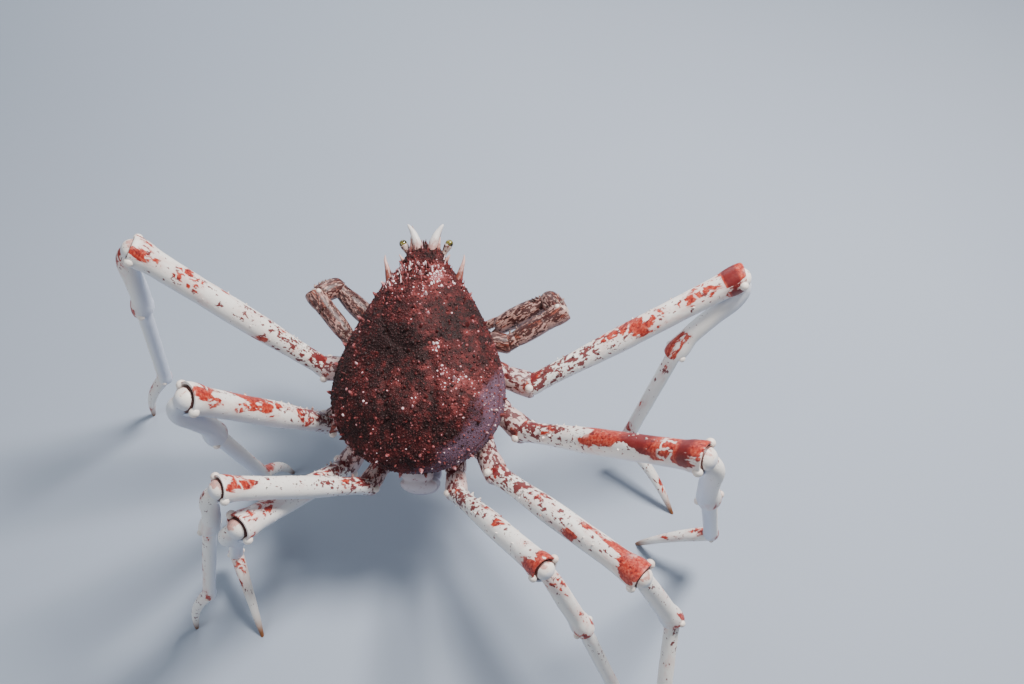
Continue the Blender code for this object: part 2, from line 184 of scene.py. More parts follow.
def drawTube(name, stations, sides=24, spacing=0.006):
    # a path with a thickness at each point, made a mesh and closed
    rows = smoothRoute(stations, spacing)
    clearPicks()
    bpy.ops.curve.primitive_nurbs_path_add(location=(0.0, 0.0, 0.0))
    path = bpy.context.object
    path.name = name
    path.data.splines.clear()
    spline = path.data.splines.new("POLY")
    spline.points.add(len(rows) - 1)
    spline.points.foreach_set("co", np.column_stack((rows[:, :3], np.ones(len(rows)))).ravel())
    spline.points.foreach_set("radius", rows[:, 3])
    path.data.dimensions = "3D"
    path.data.bevel_depth = 1.0
    path.data.bevel_resolution = (sides - 4) // 2
    path.data.use_fill_caps = True
    bpy.ops.object.convert(target="MESH")
    tube = bpy.context.object
    tidyMesh(tube)
    return tube


def drawBall(name, centre, size, segments=20, rings=12):
    clearPicks()
    bpy.ops.mesh.primitive_uv_sphere_add(segments=segments, ring_count=rings, radius=1.0,
                                         location=(0.0, 0.0, 0.0))
    ball = bpy.context.object
    ball.name = name
    ball.data.transform(Matrix.Translation(centre) @ Matrix.Diagonal((*size, 1.0)))
    return ball


def cutEnd(piece, place, way, lip, depth, shrink):
    # slices an end off, then sinks a socket into it inside a lip
    editAll(piece)
    bpy.ops.mesh.bisect(plane_co=place, plane_no=way, use_fill=True, clear_outer=True)
    pickCap(piece, way)
    bpy.ops.mesh.inset(thickness=lip)
    bpy.ops.mesh.extrude_region_move(TRANSFORM_OT_translate={"value": -way * depth})
    bpy.ops.transform.resize(value=(shrink, shrink, shrink), center_override=place - way * depth)
    bpy.ops.object.mode_set(mode="OBJECT")


def pickCap(piece, way):
    # the largest face that looks along the way, and nothing else
    bpy.ops.mesh.select_all(action="DESELECT")
    mesh = bmesh.from_edit_mesh(piece.data)
    best = max(mesh.faces, key=lambda f: (f.normal.dot(way) > 0.9) * f.calc_area())
    best.select_set(True)
    mesh.select_flush_mode()
    bmesh.update_edit_mesh(piece.data)


def drawSpike():
    # one low spine, root at zero and tip at one, copied to every place
    clearPicks()
    bpy.ops.mesh.primitive_cone_add(vertices=8, radius1=1.0, radius2=0.55, depth=1.2,
                                    location=(0.0, 0.0, -0.1))
    spike = bpy.context.object
    bpy.ops.object.mode_set(mode="EDIT")
    pickCap(spike, upward)
    bpy.ops.mesh.extrude_region_move(TRANSFORM_OT_translate={"value": (0.0, 0.0, 0.35)})
    bpy.ops.transform.resize(value=(0.5, 0.5, 1.0), center_override=(0.0, 0.0, 0.85))
    bpy.ops.mesh.extrude_region_move(TRANSFORM_OT_translate={"value": (0.0, 0.0, 0.15)})
    bpy.ops.transform.resize(value=(0.35, 0.35, 1.0), center_override=(0.0, 0.0, 1.0))
    bpy.ops.object.mode_set(mode="OBJECT")
    return takeShape(spike)


def drawGrain(sides):
    # one rounded granule of the shell, root at zero and top at one
    clearPicks()
    bpy.ops.mesh.primitive_cone_add(vertices=sides, radius1=1.0, radius2=0.86, depth=0.9,
                                    location=(0.0, 0.0, 0.0))
    grain = bpy.context.object
    bpy.ops.object.mode_set(mode="EDIT")
    pickCap(grain, upward)
    bpy.ops.mesh.extrude_region_move(TRANSFORM_OT_translate={"value": (0.0, 0.0, 0.42)})
    bpy.ops.transform.resize(value=(0.56, 0.56, 1.0), center_override=(0.0, 0.0, 0.87))
    bpy.ops.mesh.poke(offset=0.10)
    bpy.ops.object.mode_set(mode="OBJECT")
    return takeShape(grain)


def takeShape(piece):
    piece.data.transform(piece.matrix_world)
    points = readPoints(piece.data)
    faces = [tuple(polygon.vertices) for polygon in piece.data.polygons]
    bpy.data.objects.remove(piece, do_unlink=True)
    return points, faces


def spreadCopies(name, shape, places, toned=True):
    # places are a foot, an axis, a root radius, a height and a tone
    points, faces = shape
    count = len(points)
    allPoints = np.empty((len(places) * count, 3))
    marks = np.empty((len(places) * count, 3))
    allFaces = []
    for number, (foot, axis, radius, height, tone) in enumerate(places):
        turn = (upward.rotation_difference(axis).to_matrix()
                @ Matrix.Rotation(number * 2.4, 3, "Z"))
        oval = 0.22 * math.sin(number * 1.7)
        grown = points * (radius * (1.0 + oval), radius * (1.0 - oval), height)
        base = number * count
        allPoints[base:base + count] = grown @ np.array(turn).T + np.array(foot)
        marks[base:base + count, 0] = tone
        marks[base:base + count, 1] = np.clip(points[:, 2], 0.0, 1.0)
        marks[base:base + count, 2] = (number * 0.618) % 1.0
        allFaces.extend([tuple(index + base for index in face) for face in faces])
    mesh = bpy.data.meshes.new(name)
    mesh.from_pydata(allPoints.tolist(), [], allFaces)
    if toned:
        writeMark(mesh, "grain", marks)
    piece = bpy.data.objects.new(name, mesh)
    bpy.context.scene.collection.objects.link(piece)
    return piece


def roughen(piece, strength, scale):
    # gentle unevenness of a grown shell
    pickOnly(piece)
    texture = bpy.data.textures.new(piece.name + "Uneven", "CLOUDS")
    texture.noise_scale = scale
    texture.noise_depth = 2
    holder = piece.modifiers.new("Uneven", "DISPLACE")
    holder.texture = texture
    holder.texture_coords = "LOCAL"
    holder.mid_level = 0.5
    holder.strength = strength
    bpy.ops.object.modifier_apply(modifier="Uneven")
    bpy.data.textures.remove(texture)


def handIn(piece, node, material, smooth=60.0):
    pickOnly(piece)
    bpy.ops.object.shade_smooth_by_angle(angle=math.radians(smooth))
    piece.data.materials.clear()
    piece.data.materials.append(material)
    piece.data.name = piece.name
    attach(piece, "root")
    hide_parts(node)


# Materials

def hexColour(code):
    parts = [int(code[i:i + 2], 16) / 255.0 for i in (1, 3, 5)]
    return tuple([p / 12.92 if p <= 0.04045 else ((p + 0.055) / 1.055) ** 2.4
                  for p in parts] + [1.0])


# the output that is used most, where it isn't the first
usualOutput = {"ShaderNodeAttribute": "Vector", "ShaderNodeTexCoord": "Object", "ShaderNodeMix": 2}


def linkTo(material, node, links):
    # a link comes from an output, or from the usual output of a node
    for key, source in links.items():
        if isinstance(source, bpy.types.Node):
            source = source.outputs[usualOutput.get(source.bl_idname, 0)]
        material.node_tree.links.new(source, node.inputs[key])


def addNode(material, kind, settings=None, links=None, stops=()):
    node = material.node_tree.nodes.new(kind)
    for key, value in (settings or {}).items():
        if isinstance(key, str) and hasattr(node, key):
            setattr(node, key, value)
        else:
            node.inputs[key].default_value = value
    linkTo(material, node, links or {})
    if stops:
        ramp = node.color_ramp.elements
        for stop, (position, code) in zip(ramp, (stops[0], stops[-1])):
            stop.position = position
            stop.color = hexColour(code)
        for position, code in stops[1:-1]:
            ramp.new(position).color = hexColour(code)
    return node


def newMaterial(name, roughness, coat=0.0, coatRoughness=0.2):
    # returns the material, its shader and what adds a node to it
    material = bpy.data.materials.new(name)
    material.use_nodes = True
    shader = material.node_tree.nodes["Principled BSDF"]
    shader.inputs["Roughness"].default_value = roughness
    shader.inputs["IOR"].default_value = 1.5
    shader.inputs["Coat Weight"].default_value = coat
    shader.inputs["Coat Roughness"].default_value = coatRoughness
    return material, shader, functools.partial(addNode, material)


# Calcified crab shell of a leg: ivory, with coral-red blotches that lie on its upper side,
# pearly joint knobs, tan joint skin and amber claws; grown, so patchy, pitted and satin
# the side of each part that looks away from its upper side has painted shade: a cool blue-grey
# mixed into the ivory
legShell = {
    "ivory": "#f4efe8",
    # painted shade: the cool blue-grey laid on the side that looks down
    "paintedShadeSide": "#cfd6e6",
    "coral": "#ad2f1d",
    "deep": "#6a1417",
    "blush": "#cd6f58",
    "pearl": "#f2e6da",
    "skin": "#5a3430",
    "horn": "#7a4a26",
    "blotchAcross": 46.0,     # turns of the pattern a metre, patches about 20 mm wide
    "blotchAlong": 19.0,      # and about 50 mm long
    "edge": 0.700,            # higher leaves fewer blotches
    "upper": 0.13,            # how strongly the blotches keep to the upper side
    "joint": 0.15,            # how strongly they gather at the joints
    "freckles": 0.585,        # higher leaves fewer of the small spots near the body
    "streak": (175.0, 175.0, 105.0),   # turns a metre across and along the limb
    "lace": 62.0,             # pale lines cut some patches into cells about 16 mm across
    "pit": 850.0,             # pits about 1.2 mm apart
}


def makeLegShell(name, look):
    material, shader, add = newMaterial(name, 0.46, 0.10, 0.35)
    place = add("ShaderNodeAttribute", {"attribute_name": "shellPlace"})
    marks = add("ShaderNodeAttribute", {"attribute_name": "shellMarks"})
    parts = add("ShaderNodeAttribute", {"attribute_name": "shellParts"})
    mark = add("ShaderNodeSeparateXYZ", links={0: marks})
    split = add("ShaderNodeSeparateXYZ", links={0: parts})
    across = look["blotchAcross"]
    stretched = add("ShaderNodeMapping", {"Scale": (across, across, look["blotchAlong"])},
                    {"Vector": place})
    broad = add("ShaderNodeTexNoise",
                {"noise_dimensions": "4D", "Scale": 1.0, "Detail": 5.0, "Roughness": 0.55,
                 "Distortion": 0.35}, {"Vector": stretched, "W": mark.outputs["Z"]})
    upper = add("ShaderNodeMath", {"operation": "MULTIPLY_ADD", 1: look["upper"]},
                {0: mark.outputs["X"], 2: broad})
    near = add("ShaderNodeMath", {"operation": "MULTIPLY_ADD", 1: look["joint"]},
               {0: mark.outputs["Y"], 2: upper})
    blotch = add("ShaderNodeMapRange",
                 {"From Min": look["edge"], "From Max": look["edge"] + 0.022}, {"Value": near})
    fine = add("ShaderNodeTexNoise", {"Scale": 260.0, "Detail": 4.0, "Roughness": 0.6},
               {"Vector": place})
    # painted shade: the side that looks away from the upper side is mixed towards the cool shade
    # colour
    face = add("ShaderNodeMapRange", {"From Min": -0.9, "From Max": 0.25},
               {"Value": mark.outputs["X"]})
    ground = add("ShaderNodeMix",
                 {"data_type": "RGBA", 6: hexColour(look["paintedShadeSide"]), 7: hexColour(look["ivory"])},
                 {0: face})
    redness = add("ShaderNodeValToRGB", links={0: fine},
                  stops=((0.31, look["deep"]), (0.48, look["coral"]), (0.74, look["blush"])))
    blush = add("ShaderNodeMapRange",
                {"From Min": look["edge"] - 0.10, "From Max": look["edge"] + 0.02, "To Max": 0.30},
                {"Value": near})
    warmed = add("ShaderNodeMix", {"data_type": "RGBA", 7: hexColour(look["blush"])},
                 {0: blush, 6: ground})
    # the strongest patches are a darker red
    depth = add("ShaderNodeMapRange", {"From Min": 0.98, "From Max": 1.16, "To Max": 0.90},
                {"Value": mark.outputs["Y"]})
    redder = add("ShaderNodeMix", {"data_type": "RGBA", 7: hexColour(look["deep"])},
                 {0: depth, 6: redness})
    # a network of pale wavering lines runs through part of the lighter patches
    waver = add("ShaderNodeTexNoise", {"Scale": 110.0, "Detail": 2.0}, {"Vector": place})
    bent = add("ShaderNodeVectorMath", {"operation": "MULTIPLY_ADD", 1: (0.011, 0.011, 0.011)},
               {0: waver.outputs["Color"], 2: place})
    netting = add("ShaderNodeMapping", {"Scale": (look["lace"], look["lace"], look["lace"] * 0.8)},
                  {"Vector": bent})
    lace = add("ShaderNodeTexVoronoi", {"feature": "DISTANCE_TO_EDGE", "Scale": 1.0},
               {"Vector": netting})
    thread = add("ShaderNodeMapRange", {"From Min": 0.11, "From Max": 0.06}, {"Value": lace})
    netted = add("ShaderNodeTexNoise", {"noise_dimensions": "4D", "Scale": 17.0, "Detail": 1.0},
                 {"Vector": place, "W": mark.outputs["Z"]})
    laced = add("ShaderNodeMapRange", {"From Min": 0.42, "From Max": 0.50}, {"Value": netted})
    weak = add("ShaderNodeMapRange", {"From Min": 0.92, "From Max": 0.84},
               {"Value": mark.outputs["Y"]})
    lighter = add("ShaderNodeMath", {"operation": "MULTIPLY"}, {0: laced, 1: weak})
    cut = add("ShaderNodeMath", {"operation": "MULTIPLY"}, {0: thread, 1: lighter})
    kept = add("ShaderNodeMath", {"operation": "SUBTRACT", "use_clamp": True}, {0: blotch, 1: cut})
    painted = add("ShaderNodeMix", {"data_type": "RGBA"}, {0: kept, 6: warmed, 7: redder})
    # ragged dark-red freckles, 3 to 8 mm, thickest on the half nearer the body
    drawn = add("ShaderNodeMapping", {"Scale": look["streak"]}, {"Vector": place})
    spots = add("ShaderNodeTexNoise",
                {"noise_dimensions": "4D", "Scale": 1.0, "Detail": 3.0, "Roughness": 0.6},
                {"Vector": drawn, "W": mark.outputs["Z"]})
    along = add("ShaderNodeSeparateXYZ", links={0: place})
    inward = add("ShaderNodeMapRange",
                 {"From Min": 0.03, "From Max": 0.20, "To Min": 0.06, "To Max": -0.08},
                 {"Value": along.outputs["Z"]})
    higher = add("ShaderNodeMath", {"operation": "MULTIPLY_ADD", 1: 0.07},
                 {0: mark.outputs["X"], 2: inward})
    spotted = add("ShaderNodeMath", {"operation": "ADD"}, {0: spots, 1: higher})
    both = add("ShaderNodeMapRange",
               {"From Min": look["freckles"], "From Max": look["freckles"] + 0.03, "To Max": 0.96},
               {"Value": spotted})
    colour = painted
    for tint, share in (("deep", both), ("pearl", split.outputs["X"]),
                        ("skin", split.outputs["Y"]), ("horn", split.outputs["Z"])):
        colour = add("ShaderNodeMix", {"data_type": "RGBA", 7: hexColour(look[tint])},
                     {0: share, 6: colour})
    pits = add("ShaderNodeTexNoise", {"Scale": look["pit"], "Detail": 2.0, "Roughness": 0.5},
               {"Vector": place})
    worn = add("ShaderNodeMath", {"operation": "MULTIPLY_ADD", 1: 0.7}, {0: pits, 2: fine})
    bump = add("ShaderNodeBump", {"Strength": 0.35, "Distance": 0.0010}, {"Height": worn})
    linkTo(material, shader, {"Base Color": colour, "Normal": bump})
    return material


# Calcified shell of the back: maroon, with pinkish-white and lavender wear on the granules;
# grown rough, so it is matt, with painted shade that darkens the grooves
backShell = {
    "dark": "#1f0808",
    "maroon": "#4a1515",
    "rust": "#783331",
    "dusty": "#aa6f73",
    "white": "#ead5d8",
    "lavender": "#634c5d",
    "grit": 420.0,            # fine granules about 2.4 mm apart, drawn as bump
}


def makeBackShell(name, look):
    material, shader, add = newMaterial(name, 0.66)
    shader.inputs["Specular IOR Level"].default_value = 0.28
    place = add("ShaderNodeAttribute", {"attribute_name": "bodyPlace"})
    marks = add("ShaderNodeAttribute", {"attribute_name": "backMarks"})
    mark = add("ShaderNodeSeparateXYZ", links={0: marks})
    patchy = add("ShaderNodeTexNoise", {"Scale": 75.0, "Detail": 5.0, "Roughness": 0.68},
                 {"Vector": place})
    toned = add("ShaderNodeMath", {"operation": "MULTIPLY_ADD", 1: 0.85},
                {0: patchy, 2: mark.outputs["X"]})
    ramp = add("ShaderNodeValToRGB", links={0: toned},
               stops=((0.30, look["dark"]), (0.52, look["maroon"]), (0.72, look["rust"]),
                      (0.95, look["dusty"])))
    cells = add("ShaderNodeTexVoronoi", {"Scale": look["grit"]}, {"Vector": place})
    speck = add("ShaderNodeMapRange", {"From Min": 0.34, "From Max": 0.16, "To Max": 0.20},
                {"Value": cells})
    spotted = add("ShaderNodeMix", {"data_type": "RGBA", 7: hexColour(look["dusty"])},
                  {0: speck, 6: ramp})
    # the rim: lavender that breaks up into the maroon in small ragged flecks
    flecks = add("ShaderNodeTexNoise", {"Scale": 190.0, "Detail": 4.0, "Roughness": 0.62},
                 {"Vector": place})
    broken = add("ShaderNodeMath", {"operation": "MULTIPLY_ADD", 1: 1.5},
                 {0: mark.outputs["Y"], 2: flecks})
    ragged = add("ShaderNodeMapRange", {"From Min": 0.86, "From Max": 1.45, "To Max": 0.85},
                 {"Value": broken})
    rim = add("ShaderNodeMix", {"data_type": "RGBA", 7: hexColour(look["lavender"])},
              {0: ragged, 6: spotted})
    line = add("ShaderNodeMix", {"data_type": "RGBA", 7: hexColour(look["maroon"])},
               {0: mark.outputs["Z"], 6: rim})
    domes = add("ShaderNodeMapRange", {"From Min": 0.55, "From Max": 0.0}, {"Value": cells})
    worn = add("ShaderNodeMath", {"operation": "MULTIPLY_ADD", 1: 0.8}, {0: patchy, 2: domes})
    bump = add("ShaderNodeBump", {"Strength": 0.65, "Distance": 0.0014}, {"Height": worn})
    linkTo(material, shader, {"Base Color": line, "Normal": bump})
    return material


# Granules and spines of the same shell: worn pale on their tops, dark at their roots
def makeGrainShell(name, look):
    material, shader, add = newMaterial(name, 0.56, 0.04, 0.4)
    shader.inputs["Specular IOR Level"].default_value = 0.32
    marks = add("ShaderNodeAttribute", {"attribute_name": "grain"})
    mark = add("ShaderNodeSeparateXYZ", links={0: marks})
    coords = add("ShaderNodeTexCoord")
    mottled = add("ShaderNodeTexNoise", {"Scale": 330.0, "Detail": 3.0, "Roughness": 0.6},
                  {"Vector": coords})
    lifted = add("ShaderNodeMath", {"operation": "MULTIPLY_ADD", 1: 0.20},
                 {0: mark.outputs["Y"], 2: mark.outputs["X"]})
    toned = add("ShaderNodeMath", {"operation": "MULTIPLY_ADD", 1: 0.5}, {0: mottled, 2: lifted})
    ramp = add("ShaderNodeValToRGB", links={0: toned},
               stops=((0.20, look["dark"]), (0.42, look["maroon"]), (0.57, look["rust"]),
                      (0.71, look["dusty"]), (0.87, look["white"])))
    bump = add("ShaderNodeBump", {"Strength": 0.3, "Distance": 0.0006}, {"Height": mottled})
    linkTo(material, shader, {"Base Color": ramp, "Normal": bump})
    return material


# Horn of the rostrum and its side spines: worn white, rough, with pinkish streaks at the root
def makeHornShell(name, pale, stain):
    material, shader, add = newMaterial(name, 0.48, 0.08, 0.35)
    place = add("ShaderNodeAttribute", {"attribute_name": "bodyPlace"})
    marks = add("ShaderNodeAttribute", {"attribute_name": "backMarks"})
    mark = add("ShaderNodeSeparateXYZ", links={0: marks})
    streaks = add("ShaderNodeMapping", {"Scale": (420.0, 150.0, 420.0)}, {"Vector": place})
    grain = add("ShaderNodeTexNoise", {"Scale": 1.0, "Detail": 4.0, "Roughness": 0.6},
                {"Vector": streaks})
    root = add("ShaderNodeMath", {"operation": "MULTIPLY_ADD", 1: 0.75},
               {0: mark.outputs["X"], 2: grain})
    stained = add("ShaderNodeMapRange", {"From Min": 0.66, "From Max": 1.05}, {"Value": root})
    colour = add("ShaderNodeMix", {"data_type": "RGBA", 6: hexColour(pale), 7: hexColour(stain)},
                 {0: stained})
    bump = add("ShaderNodeBump", {"Strength": 0.5, "Distance": 0.0010}, {"Height": grain})
    linkTo(material, shader, {"Base Color": colour, "Normal": bump})
    return material


# Faceted cornea: a wet olive bead with a golden bloom
def makeCornea():
    material, shader, add = newMaterial("wetCorneaOlive", 0.12, 0.6, 0.06)
    coords = add("ShaderNodeTexCoord")
    facets = add("ShaderNodeTexVoronoi", {"Scale": 1900.0}, {"Vector": coords})
    cloud = add("ShaderNodeTexNoise", {"Scale": 160.0, "Detail": 2.0}, {"Vector": coords})
    ramp = add("ShaderNodeValToRGB", links={0: cloud},
               stops=((0.38, "#1d1a0c"), (0.66, "#8d8338")))
    bump = add("ShaderNodeBump", {"Strength": 0.12, "Distance": 0.0002}, {"Height": facets})
    linkTo(material, shader, {"Base Color": ramp, "Normal": bump})
    return material


# where a shell below gives its own ivory, the colour after it is the painted shade of its lower
# side
legIvory = makeLegShell("calcifiedShellIvoryBlotched", legShell)
legLower = makeLegShell("calcifiedShellIvoryLower", dict(
    legShell, edge=0.728, joint=0.17, freckles=0.70))
legRoot = makeLegShell("calcifiedShellLegRoot", dict(
    legShell, ivory="#cfb8b4", paintedShadeSide="#a494a2", coral="#8a3c34", deep="#5c1f22", edge=0.63,
    upper=0.05, blotchAcross=80.0, blotchAlong=60.0, joint=0.05, freckles=0.598))
clawBrown = makeLegShell("calcifiedShellBrownStreaked", dict(
    legShell, ivory="#ad877e", paintedShadeSide="#8e7682", coral="#7f392a", deep="#3a1412", blush="#9c6857",
    blotchAcross=170.0, blotchAlong=20.0, edge=0.61, upper=0.06, joint=0.06, freckles=0.562,
    streak=(340.0, 340.0, 125.0), skin="#5c3a30"))
bellyPale = makeLegShell("calcifiedShellBellyPale", dict(
    legShell, ivory="#dccbbc", paintedShadeSide="#c6b6b6", coral="#b0705a", deep="#8a4a40", blush="#cfa690",
    edge=0.655, upper=-0.03, joint=0.05, blotchAcross=34.0, blotchAlong=34.0, freckles=0.66))
mouthPale = makeLegShell("calcifiedShellMouthPlates", dict(
    legShell, ivory="#cfae9c", paintedShadeSide="#b39a98", coral="#9a4c3a", deep="#6a2a24", blush="#c08a78",
    edge=0.60, upper=0.05, joint=0.0, blotchAcross=120.0, blotchAlong=70.0, freckles=0.60))
rearPlate = makeLegShell("calcifiedShellRearPlate", dict(
    legShell, ivory="#cfc5cb", paintedShadeSide="#b2abbd", coral="#a98288", deep="#8d646c", blush="#c6b4bc",
    blotchAcross=60.0, blotchAlong=60.0, edge=0.72, joint=0.0, freckles=0.79))
stalkPale = makeLegShell("calcifiedShellEyeStalk", dict(
    legShell, ivory="#b9a59c", paintedShadeSide="#9a8c94", coral="#84524a", deep="#5a322c", blush="#a8887e",
    blotchAcross=160.0, blotchAlong=160.0, edge=0.60, joint=0.0, freckles=0.62))
backMaroon = makeBackShell("calcifiedShellBackMaroon", backShell)
grainWorn = makeGrainShell("calcifiedShellGranulesWorn", backShell)
hornWhite = makeHornShell("calcifiedShellHornWhite", "#e6dfda", "#b28880")
hornBrown = makeHornShell("calcifiedShellHornBrown", "#d3a79c", "#7a3c30")
cornea = makeCornea()
print("materials made")


# Carapace: a pear outline, narrow at the head, with swollen regions and grooves

carapace = {
    "halfLength": 0.163,
    "halfWidth": 0.120,
    "taper": 0.053,
    "rearPinch": 0.11,
    "headSwell": 0.20,
    "headReach": 0.019,      # how far the front that carries the horns stands out
    "headHalfWidth": 0.0315,
    "dome": 0.066,
    "underside": 0.032,
    "apexBack": 0.020,
    # swollen regions: x, y, rise, spread
    "regions": ((0.0, 0.062, 0.010, 0.034), (0.0, -0.070, 0.009, 0.028),
                (0.064, -0.058, 0.012, 0.038), (-0.064, -0.058, 0.012, 0.038),
                (0.052, 0.048, 0.006, 0.022), (-0.052, 0.048, 0.006, 0.022)),
    "grooveDepth": 0.0028,
    "grooveWidth": 0.0055,
    "rimRidge": 0.0011,
    "bumps": ((45.0, 0.0016), (120.0, 0.0011)),   # turns a metre, height
    "underBumps": (60.0, 0.0014),
    # pale and dark areas: x, y, spread, lift of the tone
    "areas": ((0.014, 0.104, 0.034, 0.22), (-0.029, 0.104, 0.020, 0.14),
              (0.020, 0.116, 0.009, 0.30), (0.034, 0.011, 0.010, 0.56),
              (0.070, -0.034, 0.032, 0.22), (0.038, -0.028, 0.018, 0.16),
              (0.100, -0.060, 0.022, 0.12), (0.008, -0.065, 0.008, 0.34),
              (0.073, 0.036, 0.007, 0.22), (-0.009, 0.017, 0.026, -0.26),
              (-0.040, 0.012, 0.026, -0.22), (0.059, 0.041, 0.018, -0.26),
              (0.0, 0.170, 0.020, -0.08), (-0.091, -0.016, 0.045, -0.06),
              (-0.049, -0.108, 0.050, -0.03)),
    # the pale crest that arches over the front of the stomach region
    "crest": ((-0.050, 0.108), (-0.042, 0.124), (-0.029, 0.136), (-0.012, 0.142),
              (0.004, 0.142), (0.018, 0.136), (0.028, 0.124)),
    "crestLift": 0.44,
    "crestWidth": 0.009,
    "patchLift": 0.20,        # patches about 30 mm wide
    "wearLift": 0.34,         # ragged clusters about 8 mm wide
    "grooveShade": 0.14,
    "rimLine": 0.32,          # how high over the rim its fine line runs, in radians
    # root radius, spacing and tries
    "grainSizes": ((0.0025, 0.0084, 14000), (0.0017, 0.0054, 42000)),
    "fineGrain": (0.0011, 0.0036, 90000),
    "underGrain": (0.0016, 0.0058, 9000),    # round the mouth, under the front rim
}


def swollenRise(x, y):
    total = 0.0
    for cx, cy, height, spread in carapace["regions"]:
        total += height * blot(x - cx, y - cy, spread)
    return total


def grooveAt(x, y):
    # the groove round the stomach region, those beside the heart and the one behind it
    width = carapace["grooveWidth"]
    oval = math.hypot(x / 0.050, (y - 0.072) / 0.066)
    neck = bell((oval - 1.0) * 0.055, width) * between((0.105 - y) / 0.03)
    side = 0.024 + 0.012 * math.sin(between(-y / 0.11) * math.pi)
    along = between((0.010 - y) / 0.02) * between((y + 0.125) / 0.02)
    heart = bell(abs(x) - side, width) * along
    behind = bell(y + 0.034 + x * x * 6.0, width)
    behind *= between((0.034 - abs(x)) / 0.01) * 0.6
    return min(1.0, neck + heart + behind)


def carapacePoint(turn, rise, fine=True):
    out = math.cos(rise)
    ahead = math.cos(turn)
    halfWidth = carapace["halfWidth"] - carapace["taper"] * ahead
    halfWidth *= 1.0 - carapace["rearPinch"] * max(0.0, -ahead) ** 2
    halfWidth *= 1.0 + carapace["headSwell"] * max(0.0, ahead) ** 3
    x = out * math.sin(turn) * halfWidth
    y = out * ahead * carapace["halfLength"]
    if ahead > 0.0:
        thick = 0.26 if rise > 0.0 else 0.40
        y += carapace["headReach"] * math.exp(-(x / carapace["headHalfWidth"]) ** 6
                                              - (rise / thick) ** 6)
    if rise > 0.0:
        up = math.sin(rise)
        z = up * carapace["dome"] + up * up * swollenRise(x, y)
        y -= up * carapace["apexBack"]
        if fine:
            z -= carapace["grooveDepth"] * grooveAt(x, y) * min(1.0, up * 2.5)
            for scale, height in carapace["bumps"]:
                z += height * noise.noise(Vector((x, y, z)) * scale) * min(1.0, up * 4.0)
            line = carapace["rimLine"]
            z += carapace["rimRidge"] * bell(rise - line + 0.08, 0.030)
            z -= carapace["rimRidge"] * bell(rise - line, 0.022)
    else:
        z = math.sin(rise) * carapace["underside"]
        if fine:
            scale, height = carapace["underBumps"]
            down = min(1.0, -math.sin(rise) * 4.0)
            z += height * noise.noise(Vector((x, y, z)) * scale) * down
    return Vector((x, y, z))


def carapaceNormal(turn, rise):
    step = 0.02
    across = carapacePoint(turn + step, rise) - carapacePoint(turn - step, rise)
    along = carapacePoint(turn, rise + step) - carapacePoint(turn, rise - step)
    return along.cross(across).normalized()


def toneAt(x, y):
    tone = 0.0
    for cx, cy, spread, lift in carapace["areas"]:
        tone += lift * blot(x - cx, y - cy, spread)
    crest = [blot(x - cx, y - cy, carapace["crestWidth"])
             for cx, cy in carapace["crest"]]
    tone += carapace["crestLift"] * max(crest)
    tone += carapace["patchLift"] * noise.fractal(Vector((x, y, 3.1)) * 30.0, 1.0, 2.0, 3)
    cluster = noise.noise(Vector((x, y, 9.4)) * 118.0) + 0.6 * noise.noise(
        Vector((x, y, 5.7)) * 260.0)
    tone += carapace["wearLift"] * between(cluster, -0.25, 0.6)
    # painted shade: the tone is lowered in the grooves, for the back and for the granules and
    # spines on it
    return tone - carapace["grooveShade"] * grooveAt(x, y)


def rimAt(point, rise):
    # the smooth lavender rim, widest at the rear on the right side
    right = between((point.x + 0.03) / 0.09)
    reach = 0.36 + 0.58 * right * between((0.01 - point.y) / 0.07)
    reach += 0.22 * noise.noise(point * 38.0)
    low = between((reach - rise) / 0.56) if rise > 0.0 else 1.0
    rear = between((0.03 - point.y) / 0.07)
    return low * rear * (0.45 + 0.55 * right)


def buildCarapace():
    clearPicks()
    bpy.ops.mesh.primitive_uv_sphere_add(segments=256, ring_count=128, radius=1.0,
                                         location=(0.0, 0.0, 0.0))
    shell = bpy.context.object
    shell.name = "carapaceShell"
    body = []
    marks = []
    for vert in shell.data.vertices:
        turn = math.atan2(vert.co.x, vert.co.y)
        rise = math.asin(between(vert.co.z, -1.0, 1.0))
        point = carapacePoint(turn, rise)
        vert.co = point
        body.append(tuple(point))
        tone = 0.74 * toneAt(point.x, point.y) - 0.02 if rise > 0.0 else 0.05
        line = bell(rise - carapace["rimLine"], 0.020)
        rim = rimAt(point, rise)
        if rise < 0.0:
            # the shell pales where it turns under the body
            rim = max(rim, min(0.80, (-0.10 - rise) / 0.70 + 0.25 * noise.noise(point * 30.0)))
        marks.append((tone, rim, 0.75 * line * min(1.0, max(0.0, rim) * 3.0)))
    writeMark(shell.data, "bodyPlace", body)
    writeMark(shell.data, "backMarks", marks)
    shell.data.transform(bodyHome)
    tidyMesh(shell)
    handIn(shell, "carapace", backMaroon)


